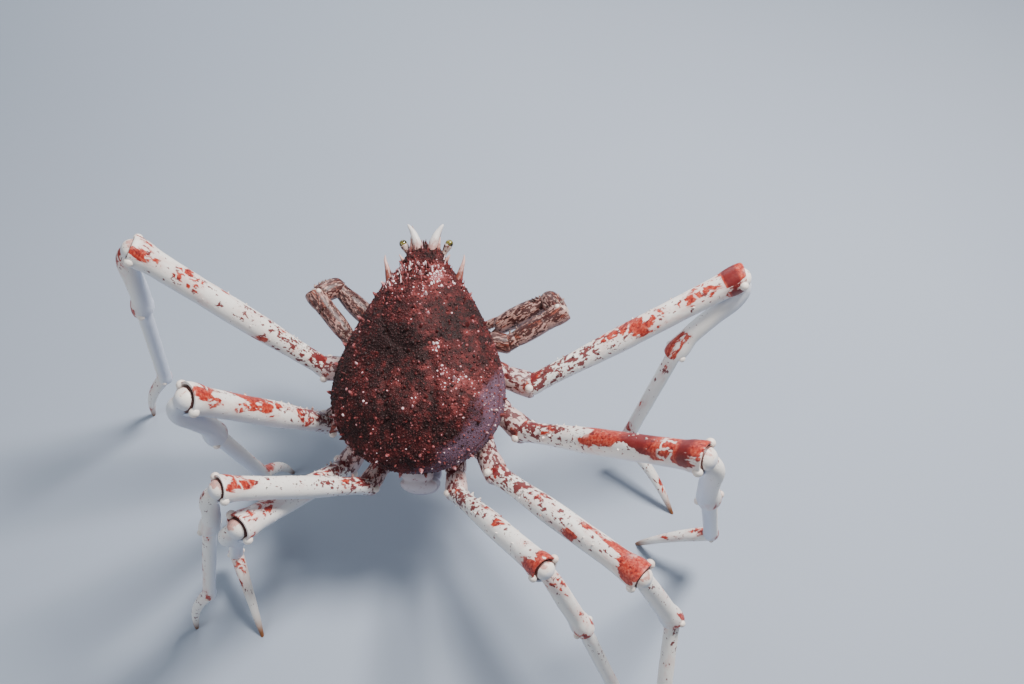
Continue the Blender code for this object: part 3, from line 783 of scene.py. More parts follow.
def spotGrains(sizes, cells, dice, lowest=0.02, highest=0.9999, widest=math.pi):
    # dart throwing over the shell: large granules first, small ones between them
    cell = 0.009
    grains = []
    for radius, gap, tries in sizes:
        for attempt in range(tries):
            turn = dice.uniform(-widest, widest)
            rise = math.asin(dice.uniform(lowest, highest))
            if dice.random() > (0.35 + 0.65 * abs(math.cos(rise))):
                continue
            point = carapacePoint(turn, rise)
            key = (int(point.x // cell), int(point.y // cell), int(point.z // cell))
            crowded = any((other - point).length < gap
                          for i in (-1, 0, 1) for j in (-1, 0, 1) for k in (-1, 0, 1)
                          for other in cells.get((key[0] + i, key[1] + j, key[2] + k), ()))
            rim = rimAt(point, rise)
            if crowded or dice.random() < 0.75 * rim + 0.3 * grooveAt(point.x, point.y):
                continue
            cells.setdefault(key, []).append(point)
            normal = carapaceNormal(turn, rise)
            size = radius * dice.uniform(0.55, 1.25) * (1.0 - 0.35 * rim)
            tone = toneAt(point.x, point.y)
            tone += dice.gauss(-0.045, 0.08 + 0.52 * between(tone, 0.0, 0.4)) + 0.16 * rim
            lean = Vector([dice.gauss(0.0, 0.16) for axis in range(3)])
            grains.append((point, (normal + lean).normalized(), size,
                           size * dice.uniform(0.50, 0.80), tone))
    return grains


spines = {
    "ringRises": (10, 23, 36, 48, 59, 70, 81),
    "spacing": 0.031,
    "radius": 0.0031,
    "height": 0.0056,
    # number, root radius and height of those on the head, and on each point of the crest
    "head": (110, 0.0017, 0.0080),
    "crest": (4, 0.0019, 0.0066),
}


def spotSpines():
    # the large spines stand as on the solid, in rings from rim to middle
    dice = random.Random(7)
    found = []
    for ring, lift in enumerate(spines["ringRises"]):
        rise = math.radians(lift)
        count = int(2.0 * math.pi * 0.14 * math.cos(rise) / spines["spacing"])
        for number in range(count):
            turn = 2.0 * math.pi * (number + 0.5 * (ring % 2) + dice.uniform(-0.22, 0.22)) / count
            up = rise + math.radians(dice.uniform(-2.5, 2.5))
            if abs(math.remainder(turn, 2.0 * math.pi)) < 0.30 and lift < 20:
                continue
            foot = carapacePoint(turn, up)
            axis = (carapaceNormal(turn, up) + Vector((0.0, 0.25, 0.0))).normalized()
            size = dice.uniform(0.8, 1.2) * (1.25 if ring == 0 or number % 4 == 0 else 0.85)
            tone = 0.16 + toneAt(foot.x, foot.y)
            found.append((foot, axis, spines["radius"] * size, spines["height"] * size, tone))
    return found


def spotHeadSpines():
    # slim spines that crowd forward over the eyes and between the horns
    dice = random.Random(5)
    found = []
    count, radius, height = spines["head"]
    for number in range(count):
        turn = dice.gauss(0.0, 0.36)
        up = math.radians(dice.uniform(2.0, 40.0))
        foot = carapacePoint(turn, up)
        axis = (carapaceNormal(turn, up) * 0.5 + Vector((0.0, 1.0, 0.25))).normalized()
        size = dice.uniform(0.6, 1.1)
        found.append((foot, axis, radius * size, height * size, 0.10 + dice.gauss(0.0, 0.22)))
    # a row of stouter ones along the pale crest
    count, radius, height = spines["crest"]
    for cx, cy in carapace["crest"]:
        for number in range(count):
            x = cx + dice.uniform(-0.007, 0.007)
            y = cy + dice.uniform(-0.004, 0.004)
            foot = shellOver(x, y)
            axis = Vector((x * 4.0, 0.7, 0.8)).normalized()
            size = dice.uniform(0.7, 1.1)
            found.append((foot, axis, radius * size, height * size, 0.36 + dice.gauss(0.0, 0.16)))
    return found


def shellOver(x, y):
    # the point of the back above a place, found by stepping the two angles
    turn = math.atan2(x, y)
    rise = 0.9
    for step in range(24):
        point = carapacePoint(turn, rise, False)
        turn += (math.atan2(x, y + 0.0001) - math.atan2(point.x, point.y + 0.0001)) * 0.8
        rise += (math.hypot(point.x, point.y) - math.hypot(x, y)) * 4.0
        rise = between(rise, 0.05, 1.5)
    return carapacePoint(turn, rise)


def layFlat(piece, shape, places):
    # every copy gets a small patch of its own in a map of the shell laid flat round its top
    points, faces = shape
    corners = points[[index for face in faces for index in face], :2]
    feet = np.array([tuple(place[0]) for place in places])
    radii = np.array([place[2] for place in places])
    aside = feet[:, 0] / carapace["halfWidth"]
    ahead = feet[:, 1] / carapace["halfLength"]
    thick = np.where(feet[:, 2] > 0.0, carapace["dome"], carapace["underside"])
    down = 0.5 * math.pi - np.arctan2(feet[:, 2] / thick, np.hypot(aside, ahead))
    turn = np.arctan2(aside, ahead)
    reach = 0.48 / down.max()
    middles = 0.5 + np.stack((np.sin(turn), np.cos(turn)), axis=1) * (down * reach)[:, None]
    spots = middles[:, None, :] + corners[None, :, :] * (radii * reach * 7.0)[:, None, None]
    layer = piece.data.uv_layers.new(name="OFBake")
    layer.uv.foreach_set("vector", spots.astype(np.float32).ravel())


grainShape = drawGrain(7)
grainSmall = drawGrain(5)
spikeShape = drawSpike()
buildCarapace()
taken = {}
throws = random.Random(21)
coarse = spotGrains(carapace["grainSizes"], taken, throws)
fine = spotGrains((carapace["fineGrain"],), taken, throws)
fine += spotGrains((carapace["underGrain"],), taken, throws, -0.80, 0.02, 2.1)
for layer, shape, places in (("carapaceGranules", grainShape, coarse),
                             ("carapaceFineGranules", grainSmall, fine),
                             ("carapaceSpines", spikeShape, spotSpines() + spotHeadSpines())):
    cover = spreadCopies(layer, shape, places)
    layFlat(cover, shape, places)
    cover.data.transform(bodyHome)
    tidyMesh(cover, 0.000001)
    handIn(cover, "carapace", grainWorn)
    print(layer, len(places), "copies,", len(cover.data.polygons), "faces")


# Head: horns, side spines, eyes, feelers

head = {
    "horn": (((0.0095, 0.158, 0.004), 0.0078), ((0.0105, 0.167, 0.0065), 0.0078),
             ((0.0120, 0.178, 0.0088), 0.0070), ((0.0160, 0.190, 0.0112), 0.0056),
             ((0.0215, 0.2005, 0.0130), 0.0036), ((0.0265, 0.2072, 0.0144), 0.0014),
             ((0.0272, 0.2082, 0.0145), 0.0006)),
    "corner": (((0.044, 0.102, 0.001), 0.0108), ((0.0485, 0.115, 0.003), 0.0086),
               ((0.0530, 0.129, 0.0045), 0.0058), ((0.0570, 0.144, 0.0063), 0.0034),
               ((0.0598, 0.155, 0.0082), 0.0018), ((0.0600, 0.1620, 0.0096), 0.0006)),
    "behindEye": (((0.0270, 0.146, 0.004), 0.0050), ((0.0325, 0.154, 0.0062), 0.0032),
                  ((0.0385, 0.1625, 0.0090), 0.0007)),
    "overEye": (((0.0190, 0.163, 0.0055), 0.0038), ((0.0208, 0.176, 0.0078), 0.0024),
                ((0.0225, 0.190, 0.0100), 0.0006)),
    "stalk": (((0.0190, 0.154, -0.0040), 0.0046), ((0.0225, 0.160, -0.0036), 0.0042),
              ((0.0275, 0.169, -0.0024), 0.0042), ((0.0312, 0.1755, -0.0004), 0.0056),
              ((0.0332, 0.1788, 0.0008), 0.0062), ((0.0342, 0.1804, 0.0013), 0.0056)),
    "bead": (0.0352, 0.1820, 0.0019),
    "beadSize": (0.0061, 0.0061, 0.0058),
    "feeler": (((0.0110, 0.145, -0.0155), 0.0048), ((0.0118, 0.154, -0.0157), 0.0048),
               ((0.0124, 0.1600, -0.0157), 0.0037), ((0.0129, 0.1630, -0.0156), 0.0042),
               ((0.0144, 0.1760, -0.0138), 0.0033), ((0.0149, 0.1800, -0.0129), 0.0023),
               ((0.0153, 0.1830, -0.0121), 0.0026), ((0.0166, 0.1900, -0.0100), 0.0018),
               ((0.0174, 0.1940, -0.0088), 0.0013), ((0.0205, 0.2040, -0.0050), 0.0010),
               ((0.0240, 0.2120, -0.0020), 0.0006)),
    "innerFeeler": (((0.0056, 0.1640, -0.0120), 0.0024), ((0.0060, 0.1750, -0.0132), 0.0024),
                    ((0.0063, 0.1815, -0.0122), 0.0018), ((0.0060, 0.1860, -0.0085), 0.0015),
                    ((0.0052, 0.1885, -0.0040), 0.0008), ((0.0048, 0.1890, -0.0022), 0.0005)),
}


def mirrored(stations, sign):
    return [(Vector((sign * p[0], p[1], p[2])), r) for p, r in stations]


def markBody(piece, rootY, tipY):
    points = readPoints(piece.data)
    fade = np.clip((tipY - points[:, 1]) / (tipY - rootY), 0.0, 1.0)
    writeMark(piece.data, "bodyPlace", points)
    writeMark(piece.data, "backMarks", np.column_stack((fade, fade * 0.0, fade * 0.0)))


for sign, word in ((1.0, "Right"), (-1.0, "Left")):
    for part, rootY, tipY, shell in (("horn", 0.168, 0.192, hornWhite),
                                     ("corner", 0.124, 0.158, hornBrown),
                                     ("behindEye", 0.148, 0.162, hornBrown),
                                     ("overEye", 0.166, 0.188, hornBrown)):
        spike = drawTube(part + word, mirrored(head[part], sign), 20, 0.0022)
        roughen(spike, 0.0009, 0.0045)
        markBody(spike, rootY, tipY)
        spike.data.transform(bodyHome)
        handIn(spike, "carapace", shell)
print("horns and front spines done")


# shares of pearl, skin and horn in the colour of a part
partMix = {
    "plain": (0.0, 0.0, 0.0),
    "knob": (0.85, 0.0, 0.0),
    "bulb": (0.35, 0.0, 0.0),
    "skin": (0.0, 1.0, 0.0),
    "tooth": (0.9, 0.0, 0.0),
    "bristle": (0.0, 0.0, 0.75),
}


def markShell(piece, start, along, dorsal, seed, length=1.0, reach=0.022, part="plain",
              patches=()):
    # place along the limb, how far up the surface looks, nearness of a joint, pattern seed
    points = readPoints(piece.data)
    side = along.cross(dorsal).normalized()
    away = points - np.array(start)
    local = np.column_stack((away @ np.array(dorsal), away @ np.array(side),
                             away @ np.array(along)))
    radial = np.hypot(local[:, 0], local[:, 1])
    upper = local[:, 0] / np.maximum(radial, 1e-5)
    ends = np.exp(-((local[:, 2] - length) / reach) ** 2)
    ends = np.maximum(ends, 0.6 * np.exp(-(local[:, 2] / reach) ** 2))
    for share, width, strength in patches:
        ends = np.maximum(ends, strength * np.exp(-((local[:, 2] / length - share) / width) ** 2))
    writeMark(piece.data, "shellPlace", local)
    writeMark(piece.data, "shellMarks", np.column_stack((upper, ends, 0.0 * ends + seed * 7.3)))
    writeMark(piece.data, "shellParts", np.tile(partMix[part], (len(points), 1)))


def foldOf(first, second):
    # the way in which the second limb turns away from the first
    return (second - first * second.dot(first)).normalized()


def dorsalOf(along):
    # the side of a limb that looks up
    return foldOf(along, upward)


def buildEye(sign, word):
    route = mirrored(head["stalk"], sign)
    stalk = drawTube("eyeStalk" + word, route, 20, 0.0012)
    along = Vector((sign * 0.6, 0.5, 0.1)).normalized()
    markShell(stalk, route[0][0], along, dorsalOf(along), 3.0)
    stalk.data.transform(bodyHome)
    handIn(stalk, "eye_" + word.lower(), stalkPale)
    # the cornea is a bead set in the end of the stalk, a little longer than wide
    x, y, z = head["bead"]
    ball = drawBall("eyeBead" + word, Vector((sign * x, y, z)), head["beadSize"], 32, 20)
    ball.data.transform(bodyHome)
    handIn(ball, "eye_" + word.lower(), cornea)


def buildFeeler(sign, word):
    route = mirrored(head["feeler"], sign)
    feeler = drawTube("feeler" + word, route, 16, 0.0014)
    # the small inner feeler stands folded under the front, beside the middle
    inner = drawTube("innerFeeler" + word, mirrored(head["innerFeeler"], sign), 14, 0.0010)
    feeler = joinPieces([feeler, inner])
    feeler.name = "feeler" + word
    along = Vector((sign * 0.3, 0.9, 0.2)).normalized()
    markShell(feeler, route[0][0], along, dorsalOf(along), 5.0)
    feeler.data.transform(bodyHome)
    handIn(feeler, "antenna_" + word.lower(), clawBrown)


for sign, word in ((1.0, "Right"), (-1.0, "Left")):
    buildEye(sign, word)
    buildFeeler(sign, word)
print("eyes and feelers done")


# Underside: mouth plates, breast plates, abdomen

belly = {
    "place": (0.0, -0.015, -0.054),
    "halfSize": (0.096, 0.128, 0.036),
    "seams": (0.052, 0.024, -0.024, -0.076, -0.117),   # between the plates that carry legs
    "seamDepth": 0.0030,
    "seamWidth": 0.0028,
    "mouthFrame": 0.030,      # half the width of the frame that the mouth plates close
    # the tail: seven rings, folded forward under the breast plates
    "flap": (((0.0, -0.144, -0.016), 0.0098), ((0.0, -0.150, -0.020), 0.0102),
             ((0.0, -0.174, -0.032), 0.0122), ((0.0, -0.176, -0.058), 0.0127),
             ((0.0, -0.152, -0.080), 0.0122), ((0.0, -0.100, -0.091), 0.0107),
             ((0.0, -0.030, -0.094), 0.0062)),
    "flapRings": 8.0,
    "flapBreadth": 2.1,
}


def buildBelly():
    ball = drawBall("breastPlates", Vector((0.0, 0.0, 0.0)), (1.0, 1.0, 1.0), 256, 128)
    centre = Vector(belly["place"])
    size = belly["halfSize"]
    for vert in ball.data.vertices:
        unit = vert.co.copy()
        point = Vector((unit.x * size[0], unit.y * size[1], unit.z * size[2])) + centre
        cut = 0.0
        for seam in belly["seams"]:
            bend = seam + 0.10 * abs(point.x)
            cut += bell(point.y - bend, belly["seamWidth"]) * min(1.0, abs(point.x) / 0.02)
        cut += bell(point.x, 0.003) * 0.6
        ahead = between((point.y - 0.052) / 0.02)
        edge = belly["mouthFrame"] + 0.10 * (0.113 - point.y)
        cut += 1.3 * ahead * bell(abs(point.x) - edge, 0.0030)
        depth = belly["seamDepth"] * min(1.0, cut)
        grown = 0.0009 * noise.noise(point * 60.0) + 0.0012 * ahead * noise.noise(point * 210.0)
        vert.co = point - unit * (depth + 0.0006 - grown)
    markShell(ball, centre, forward, upward, 9.0, length=0.4, reach=0.02)
    ball.data.transform(bodyHome)
    handIn(ball, "thorax", bellyPale)


def buildFlap():
    coarse = smoothRoute(mirrored(belly["flap"], 1.0), 0.002)
    steps = np.linalg.norm(np.diff(coarse[:, :3], axis=0), axis=1)
    at = np.concatenate(([0.0], np.cumsum(steps)))
    total = at[-1]
    stations = []
    for row, distance in zip(coarse, at):
        ring = (distance / total * belly["flapRings"]) % 1.0
        seam = bell(min(ring, 1.0 - ring), 0.09)
        swell = 0.05 * math.sin(ring * math.pi)
        stations.append((Vector(row[:3]), row[3] * (0.98 + swell - 0.13 * seam)))
    flap = drawTube("abdomenRings", stations, 32, 0.0018)
    flap.data.transform(Matrix.Diagonal((belly["flapBreadth"], 1.0, 1.0, 1.0)))
    markShell(flap, Vector((0.0, -0.14, -0.05)), forward, upward, 11.0, length=0.4, reach=0.02)
    flap.data.transform(bodyHome)
    handIn(flap, "abdomen", rearPlate)


mouth = {
    # centre, half size, how much the root and the front of each outer plate narrow
    "plates": (((0.0120, 0.1000, -0.0425), (0.0112, 0.0195, 0.0080), 0.30, 0.05),
               ((0.0124, 0.1282, -0.0438), (0.0114, 0.0108, 0.0074), 0.02, 0.36)),
    "palp": (((0.0165, 0.1330, -0.0440), 0.0046), ((0.0160, 0.1385, -0.0446), 0.0042),
             ((0.0156, 0.1405, -0.0449), 0.0034), ((0.0152, 0.1430, -0.0453), 0.0040),
             ((0.0128, 0.1480, -0.0480), 0.0036), ((0.0120, 0.1490, -0.0490), 0.0028),
             ((0.0110, 0.1498, -0.0505), 0.0031), ((0.0076, 0.1505, -0.0540), 0.0022),
             ((0.0054, 0.1500, -0.0565), 0.0009)),
    "bristles": 44,
}


def drawPlate(size, rootNarrow, frontNarrow):
    clearPicks()
    bpy.ops.mesh.primitive_cube_add(size=2.0, location=(0.0, 0.0, 0.0))
    plate = bpy.context.object
    plate.name = "mouthPlate"
    bpy.ops.object.mode_set(mode="EDIT")
    bpy.ops.transform.resize(value=size, center_override=(0.0, 0.0, 0.0))
    bpy.ops.mesh.bevel(offset=0.0034, segments=3)
    pickCap(plate, Vector((0.0, 0.0, -1.0)))
    bpy.ops.mesh.inset(thickness=0.0016, depth=-0.0008)
    bpy.ops.mesh.inset(thickness=0.0030, depth=0.0012)
    bpy.ops.object.mode_set(mode="OBJECT")
    rounded = plate.modifiers.new("Rounded", "SUBSURF")
    rounded.levels = 3
    rounded.render_levels = 3
    bpy.ops.object.modifier_apply(modifier="Rounded")
    for vert in plate.data.vertices:
        ahead = (vert.co.y / size[1] + 1.0) / 2.0
        narrow = 1.0 - rootNarrow * (1.0 - ahead) ** 2 - frontNarrow * ahead ** 2
        vert.co.x *= narrow
        vert.co.z *= 0.5 + 0.5 * narrow
        if vert.co.z < 0.0:
            vert.co.z += 0.0011 * bell(vert.co.x + 0.002, 0.0014)
    roughen(plate, 0.0009, 0.006)
    return plate


def buildMouth():
    # a long and a short outer plate each side, a jointed palp, and bristles along the middle
    pieces = []
    dice = random.Random(17)
    bristles = []
    for sign in (1.0, -1.0):
        for centre, size, rootNarrow, frontNarrow in mouth["plates"]:
            plate = drawPlate(size, rootNarrow, frontNarrow)
            plate.data.transform(Matrix.Diagonal((sign, 1.0, 1.0, 1.0)))
            plate.data.transform(Matrix.Translation((sign * centre[0], centre[1], centre[2])))
            if sign < 0.0:
                plate.data.flip_normals()
            pieces.append(plate)
        pieces.append(drawTube("palp", mirrored(mouth["palp"], sign), 20, 0.0008))
        for number in range(mouth["bristles"]):
            foot = Vector((sign * dice.uniform(0.0016, 0.0030), 0.084 + 0.056 * number
                           / mouth["bristles"], -0.0480 + dice.uniform(-0.002, 0.003)))
            axis = Vector((-sign * 0.35, 0.35 + dice.gauss(0.0, 0.2), -0.8)).normalized()
            bristles.append((foot, axis, 0.00042, dice.uniform(0.0026, 0.0048), 0.0))
    fringe = spreadCopies("mouthBristles", spikeShape, bristles, False)
    below = Vector((0.0, 0.0, -1.0))
    for piece in pieces + [fringe]:
        markShell(piece, Vector((0.0, 0.08, -0.03)), forward, below, 13.0, length=0.4,
                  reach=0.02, part="bristle" if piece is fringe else "plain")
    whole = joinPieces(pieces + [fringe])
    whole.name = "mouthPlates"
    whole.data.transform(bodyHome)
    handIn(whole, "mouthparts", mouthPale)


buildBelly()
buildFlap()
buildMouth()
print("underside done")


# Walking legs

legs = {
    "roots": {1: (0.092, 0.000, -0.052), 2: (0.098, -0.048, -0.052),
              3: (0.084, -0.104, -0.052), 4: (0.050, -0.130, -0.050)},
    # lengths of hip, merus, carpus, propodus and dactylus
    "lengths": {1: (0.070, 0.345, 0.150, 0.220, 0.145), 2: (0.070, 0.345, 0.150, 0.220, 0.145),
                3: (0.066, 0.295, 0.138, 0.200, 0.132), 4: (0.058, 0.303, 0.130, 0.200, 0.135)},
    "radii": {1: 0.0185, 2: 0.0185, 3: 0.0175, 4: 0.0155},
    # compass angle and rise of hip, merus, carpus and propodus, compass angle of dactylus
    "poses": {
        ("right", 1): ((-18, -8), (16, 26), (-150, -52), (-150, -72), -50),
        ("right", 2): ((-43, -5), (-37, 39), (30, -76), (46, -74), 165),
        ("right", 3): ((-66, 4), (-48, 23), (-10, -66), (-95, -54), -80),
        ("right", 4): ((-86, -12), (-59, 41), (-31, -62), (-27, -71), -34),
        ("left", 1): ((169, -16), (176, 50), (160, -76), (150, -80), 173),
        ("left", 2): ((-161, -35), (-129, 59), (101, -77), (77, -76), 77),
        ("left", 3): ((-146, -47), (-114, 44), (132, -65), (133, -68), -68),
        ("left", 4): ((-118, -3), (-138, 52), (172, -70), (-161, -76), -172),
    },
    # along the hip: metres and shares of its length, with thickness as a share of the radius
    "hipRoot": ((-0.018, 0.98), (0.004, 1.04)),
    "hipRings": ((0.30, 1.06), (0.42, 1.00), (0.455, 0.84), (0.49, 0.95), (0.62, 0.98)),
    "hipEnd": ((-0.65, 0.97), (0.15, 0.97), (0.60, 0.70)),
    # shares of the radius: root, middle and far end, how far out and how thick the knobs are
    "segments": (("Merus", 0.86, 1.0, 1.16, 1.10, 0.36), ("Carpus", 0.70, 0.76, 0.92, 0.86, 0.28),
                 ("Propodus", 0.62, 0.60, 0.66, 0.60, 0.20)),
    "hook": 1.15,            # how far the root of the carpus leaves sideways
    "hoodTilt": 24.0,        # how far the end of a limb is cut aslant, in degrees
    "hood": (0.18, 0.13, 0.34, 0.86),   # where it is cut, lip, depth and floor of its socket
    "skin": (-0.16, 0.80),   # where the ball of skin sits in the socket, and its size
    "bulb": (0.04, 0.06, 0.71),   # where the head of the next limb sits, and its size
    "spinules": 34,          # small spines on the upper side of each merus
    "kneeReach": 0.034,      # how far from a joint its red reaches
    # red patches of the merus: share of its length, width as a share, strength
    "patches": {
        ("right", 1): ((0.54, 0.09, 1.02), (0.79, 0.15, 0.88), (0.97, 0.05, 1.50)),
        ("right", 2): ((0.48, 0.10, 0.90), (0.70, 0.22, 1.22), (0.95, 0.09, 1.22)),
        ("right", 3): ((0.28, 0.10, 0.60), (0.63, 0.07, 0.80)),
        ("right", 4): ((0.38, 0.05, 0.80), (0.86, 0.05, 0.60)),
        ("left", 1): ((0.35, 0.08, 0.60), (0.74, 0.08, 0.60)),
        ("left", 2): ((0.30, 0.14, 0.55), (0.64, 0.20, 1.02), (0.92, 0.08, 0.95)),
        ("left", 3): ((0.28, 0.26, 0.62), (0.86, 0.09, 0.80)),
        ("left", 4): ((0.22, 0.08, 0.55),),
    },
}


def legJoints(side, pair):
    x, y, z = legs["roots"][pair]
    sign = 1.0 if side == "right" else -1.0
    joints = [bodyHeld @ Vector((sign * x, y, z))]
    pose = legs["poses"][(side, pair)]
    lengths = legs["lengths"][pair]
    for number in range(4):
        joints.append(joints[-1] + compass(*pose[number]) * lengths[number])
    rise = -math.degrees(math.asin(joints[-1].z / lengths[4]))
    joints.append(joints[-1] + compass(pose[4], rise) * lengths[4])
    return [shiftHome @ joint for joint in joints]


def bendSide(first, second):
    side = first.cross(second)
    if side.length < 0.05:
        side = first.cross(upward)
    return side.normalized()


def stationsFrom(start, way, radius, pairs):
    return [(start + way * distance, radius * thick) for distance, thick in pairs]


def limbStations(start, end, root, middle, flare, hook=None):
    # slim after its root, flared at the far joint; a hooked one leaves its root sideways
    along = (end - start).normalized()
    length = (end - start).length
    if hook is None:
        rows = [(start - along * 0.006, root * 0.86), (start + along * 0.002, root * 1.04),
                (start + along * 0.010, root * 1.02), (start + along * 0.018, root * 0.95),
                (start + along * length * 0.16, root * 0.97),
                (start + along * length * 0.45, middle),
                (start + along * length * 0.70, middle * 0.98)]
    else:
        rows = [(start, root * 0.92), (start + hook * 0.85 + along * length * 0.02, root),
                (start + hook + along * length * 0.13, root * 1.05),
                (start + hook * 0.45 + along * length * 0.45, middle)]
    for back, share in ((1.9, 0.0), (1.25, 0.90), (0.60, 0.99), (0.10, 1.0), (-0.45, 0.93),
                        (-0.95, 0.60)):
        rows.append((end - along * flare * back, flare * share if share else middle))
    return rows


def jointKnobs(name, centre, side, spread, radius):
    # a pearly bead each side of a joint, on which the next limb turns
    knobs = []
    for way in (1.0, -1.0):
        knob = drawBall(name + "Knob", Vector((0.0, 0.0, 0.0)),
                        (radius, radius, radius * 0.92), 20, 14)
        turn = upward.rotation_difference(side * way).to_matrix().to_4x4()
        knob.data.transform(Matrix.Translation(centre + side * way * spread) @ turn)
        knobs.append(knob)
    return knobs


def smallSpines(start, end, radius, count, seed):
    # the large spines that the solid has too, then finer ones among them
    dice = random.Random(seed)
    along = (end - start).normalized()
    side = along.cross(upward).normalized()
    above = side.cross(along).normalized()
    found = []
    large = 8
    for number in range(large):
        share = 0.12 + 0.70 * (number + dice.uniform(0.2, 0.8)) / large
        lean = math.radians(dice.uniform(-65.0, 65.0))
        out = above * math.cos(lean) + side * math.sin(lean)
        axis = (out + along * 0.35).normalized()
        height = dice.uniform(0.0026, 0.0036)
        found.append((start + (end - start) * share + out * radius, axis, 0.0022, height, 0.0))
    for number in range(count):
        share = 0.05 + 0.79 * (number + dice.random()) / count
        lean = math.radians(dice.gauss(0.0, 48.0))
        out = above * math.cos(lean) + side * math.sin(lean)
        axis = (out + along * 0.5).normalized()
        size = dice.uniform(0.55, 1.0)
        found.append((start + (end - start) * share + out * radius * 0.985, axis,
                      0.0014 * size, 0.0017 * size, 0.0))
    return found


def keepInside(piece):
    # the outermost joints are eased back, so that they stay within the box of the solids
    points = readPoints(piece.data)
    margin = 0.005
    ease = 0.0048
    for axis, way, limit in ((0, 1.0, cadBox[1][0]), (0, -1.0, -cadBox[0][0]),
                             (2, 1.0, cadBox[1][2])):
        over = way * points[:, axis] - (limit - margin)
        eased = limit - margin + ease * np.tanh(over / ease)
        points[:, axis] = np.where(over > 0.0, way * eased, points[:, axis])
    piece.data.vertices.foreach_set("co", points.ravel())
    piece.data.update()


def buildLimb(name, node, start, end, rows, flare, seed, material, knobs=None, fold=None,
              dotted=None, ground=False, horny=False, sides=28, patches=()):
    along = (end - start).normalized()
    length = (end - start).length
    dorsal = dorsalOf(along)
    tube = drawTube(name, rows, sides, 0.0060)
    roughen(tube, 0.0011, 0.030)
    pieces = [tube]
    if fold is not None:
        tilt = math.radians(legs["hoodTilt"])
        way = (along * math.cos(tilt) + fold * math.sin(tilt)).normalized()
        place, lip, depth, floor = legs["hood"]
        cutEnd(tube, end + along * flare * place, way, flare * lip, flare * depth, floor)
    markShell(tube, start, along, dorsal, seed, length, legs["kneeReach"], patches=patches)
    if fold is not None:
        # dark joint skin, and the pale head of the next limb that turns in it
        ahead, size = legs["skin"]
        skin = drawBall(name + "Skin", end + along * flare * ahead, (flare * size,) * 3, 24, 16)
        markShell(skin, start, along, dorsal, seed, length, part="skin")
        ahead, aside, size = legs["bulb"]
        bulb = drawBall(name + "Bulb", end + along * flare * ahead + fold * flare * aside,
                        (flare * size,) * 3, 28, 18)
        markShell(bulb, start, along, dorsal, seed + 5.0, length, part="bulb")
        pieces.extend((skin, bulb))
    for knob in knobs or []:
        markShell(knob, start, along, dorsal, seed, length, part="knob")
        pieces.append(knob)
    if dotted:
        cover = spreadCopies(name + "Spines", spikeShape, dotted, False)
        tips = np.tile(np.clip(spikeShape[0][:, 2], 0.0, 1.0), len(dotted))
        markShell(cover, start, along, dorsal, seed, length)
        parts = np.column_stack((tips * 0.0 + 0.15, tips * 0.0, tips * 0.30))
        writeMark(cover.data, "shellParts", parts)
        pieces.append(cover)
    if horny:
        share = (readPoints(tube.data) - np.array(start)) @ np.array(along) / length
        far = np.clip((share - 0.66) / 0.30, 0.0, 1.0)
        writeMark(tube.data, "shellParts", np.column_stack((far * 0, far * 0, far ** 1.5)))
    whole = joinPieces(pieces)
    whole.name = name
    if ground:
        editAll(whole)
        bpy.ops.mesh.bisect(plane_co=(0.0, 0.0, 0.0002), plane_no=(0.0, 0.0, -1.0),
                            use_fill=True, clear_outer=True)
        bpy.ops.object.mode_set(mode="OBJECT")
    keepInside(whole)
    handIn(whole, node, material, 50.0)
    return whole


def buildLeg(side, pair):
    name = side + "Leg" + str(pair)
    node = side + "_leg" + str(pair)
    joints = legJoints(side, pair)
    radius = legs["radii"][pair]
    steps = [(joints[n + 1] - joints[n]).normalized() for n in range(5)]
    seed = pair + (10 if side == "left" else 0)

    # hip: a broad ring next to the body, a waist, then the short link to the merus
    length = (joints[1] - joints[0]).length
    flare = radius * 1.08
    rows = stationsFrom(joints[0], steps[0], radius, legs["hipRoot"])
    rows += stationsFrom(joints[0], steps[0] * length, radius, legs["hipRings"])
    rows += stationsFrom(joints[1], steps[0] * flare, flare, legs["hipEnd"])
    fold = foldOf(steps[0], steps[1])
    knobs = jointKnobs(name, joints[1], bendSide(steps[0], steps[1]), radius, radius * 0.34)
    buildLimb(name + "Hip", node + "_hip", joints[0], joints[1], rows, flare, seed + 0.1,
              legRoot, knobs, fold)

    for place, (part, root, middle, far, spread, bead) in enumerate(legs["segments"], 1):
        start, end = joints[place], joints[place + 1]
        flare = radius * far
        # the carpus is hooked: it leaves in the way the merus before it folds
        hook = fold * radius * legs["hook"] if part == "Carpus" else None
        rows = limbStations(start, end, radius * root, radius * middle, flare, hook)
        fold = foldOf(steps[place], steps[place + 1])
        knobs = jointKnobs(name, end, bendSide(steps[place], steps[place + 1]), radius * spread,
                           radius * bead)
        dotted, patches = None, ()
        if part == "Merus":
            dotted = smallSpines(start, end, radius * 0.97, legs["spinules"], seed)
            patches = legs["patches"][(side, pair)]
        buildLimb(name + part, node + "_" + part.lower(), start, end, rows, flare,
                  seed + 0.1 + 0.2 * place, legIvory if part == "Merus" else legLower, knobs,
                  fold, dotted, patches=patches)

    # dactylus: a bowed, tapering point that stands on the ground
    length = legs["lengths"][pair][4]
    bow = steps[4].cross(bendSide(steps[3], steps[4])) * length * 0.07
    if bow.z < 0.0:
        bow = -bow
    rows = []
    for row in range(11):
        share = row / 10
        thick = radius * 0.44 * (1.0 - share) ** 0.75 + 0.0030
        if row == 0:
            rows.append((joints[4] - steps[4] * 0.003, thick * 0.8))
        rows.append((joints[4] + (joints[5] - joints[4]) * share + bow * math.sin(math.pi * share),
                     thick))
    rows.append((rows[-1][0] + (rows[-1][0] - rows[-2][0]).normalized() * 0.006, 0.0026))
    buildLimb(name + "Dactylus", node + "_dactylus", joints[4], joints[5], rows, radius * 0.4,
              seed + 0.9, legLower, ground=True, horny=True, sides=20)


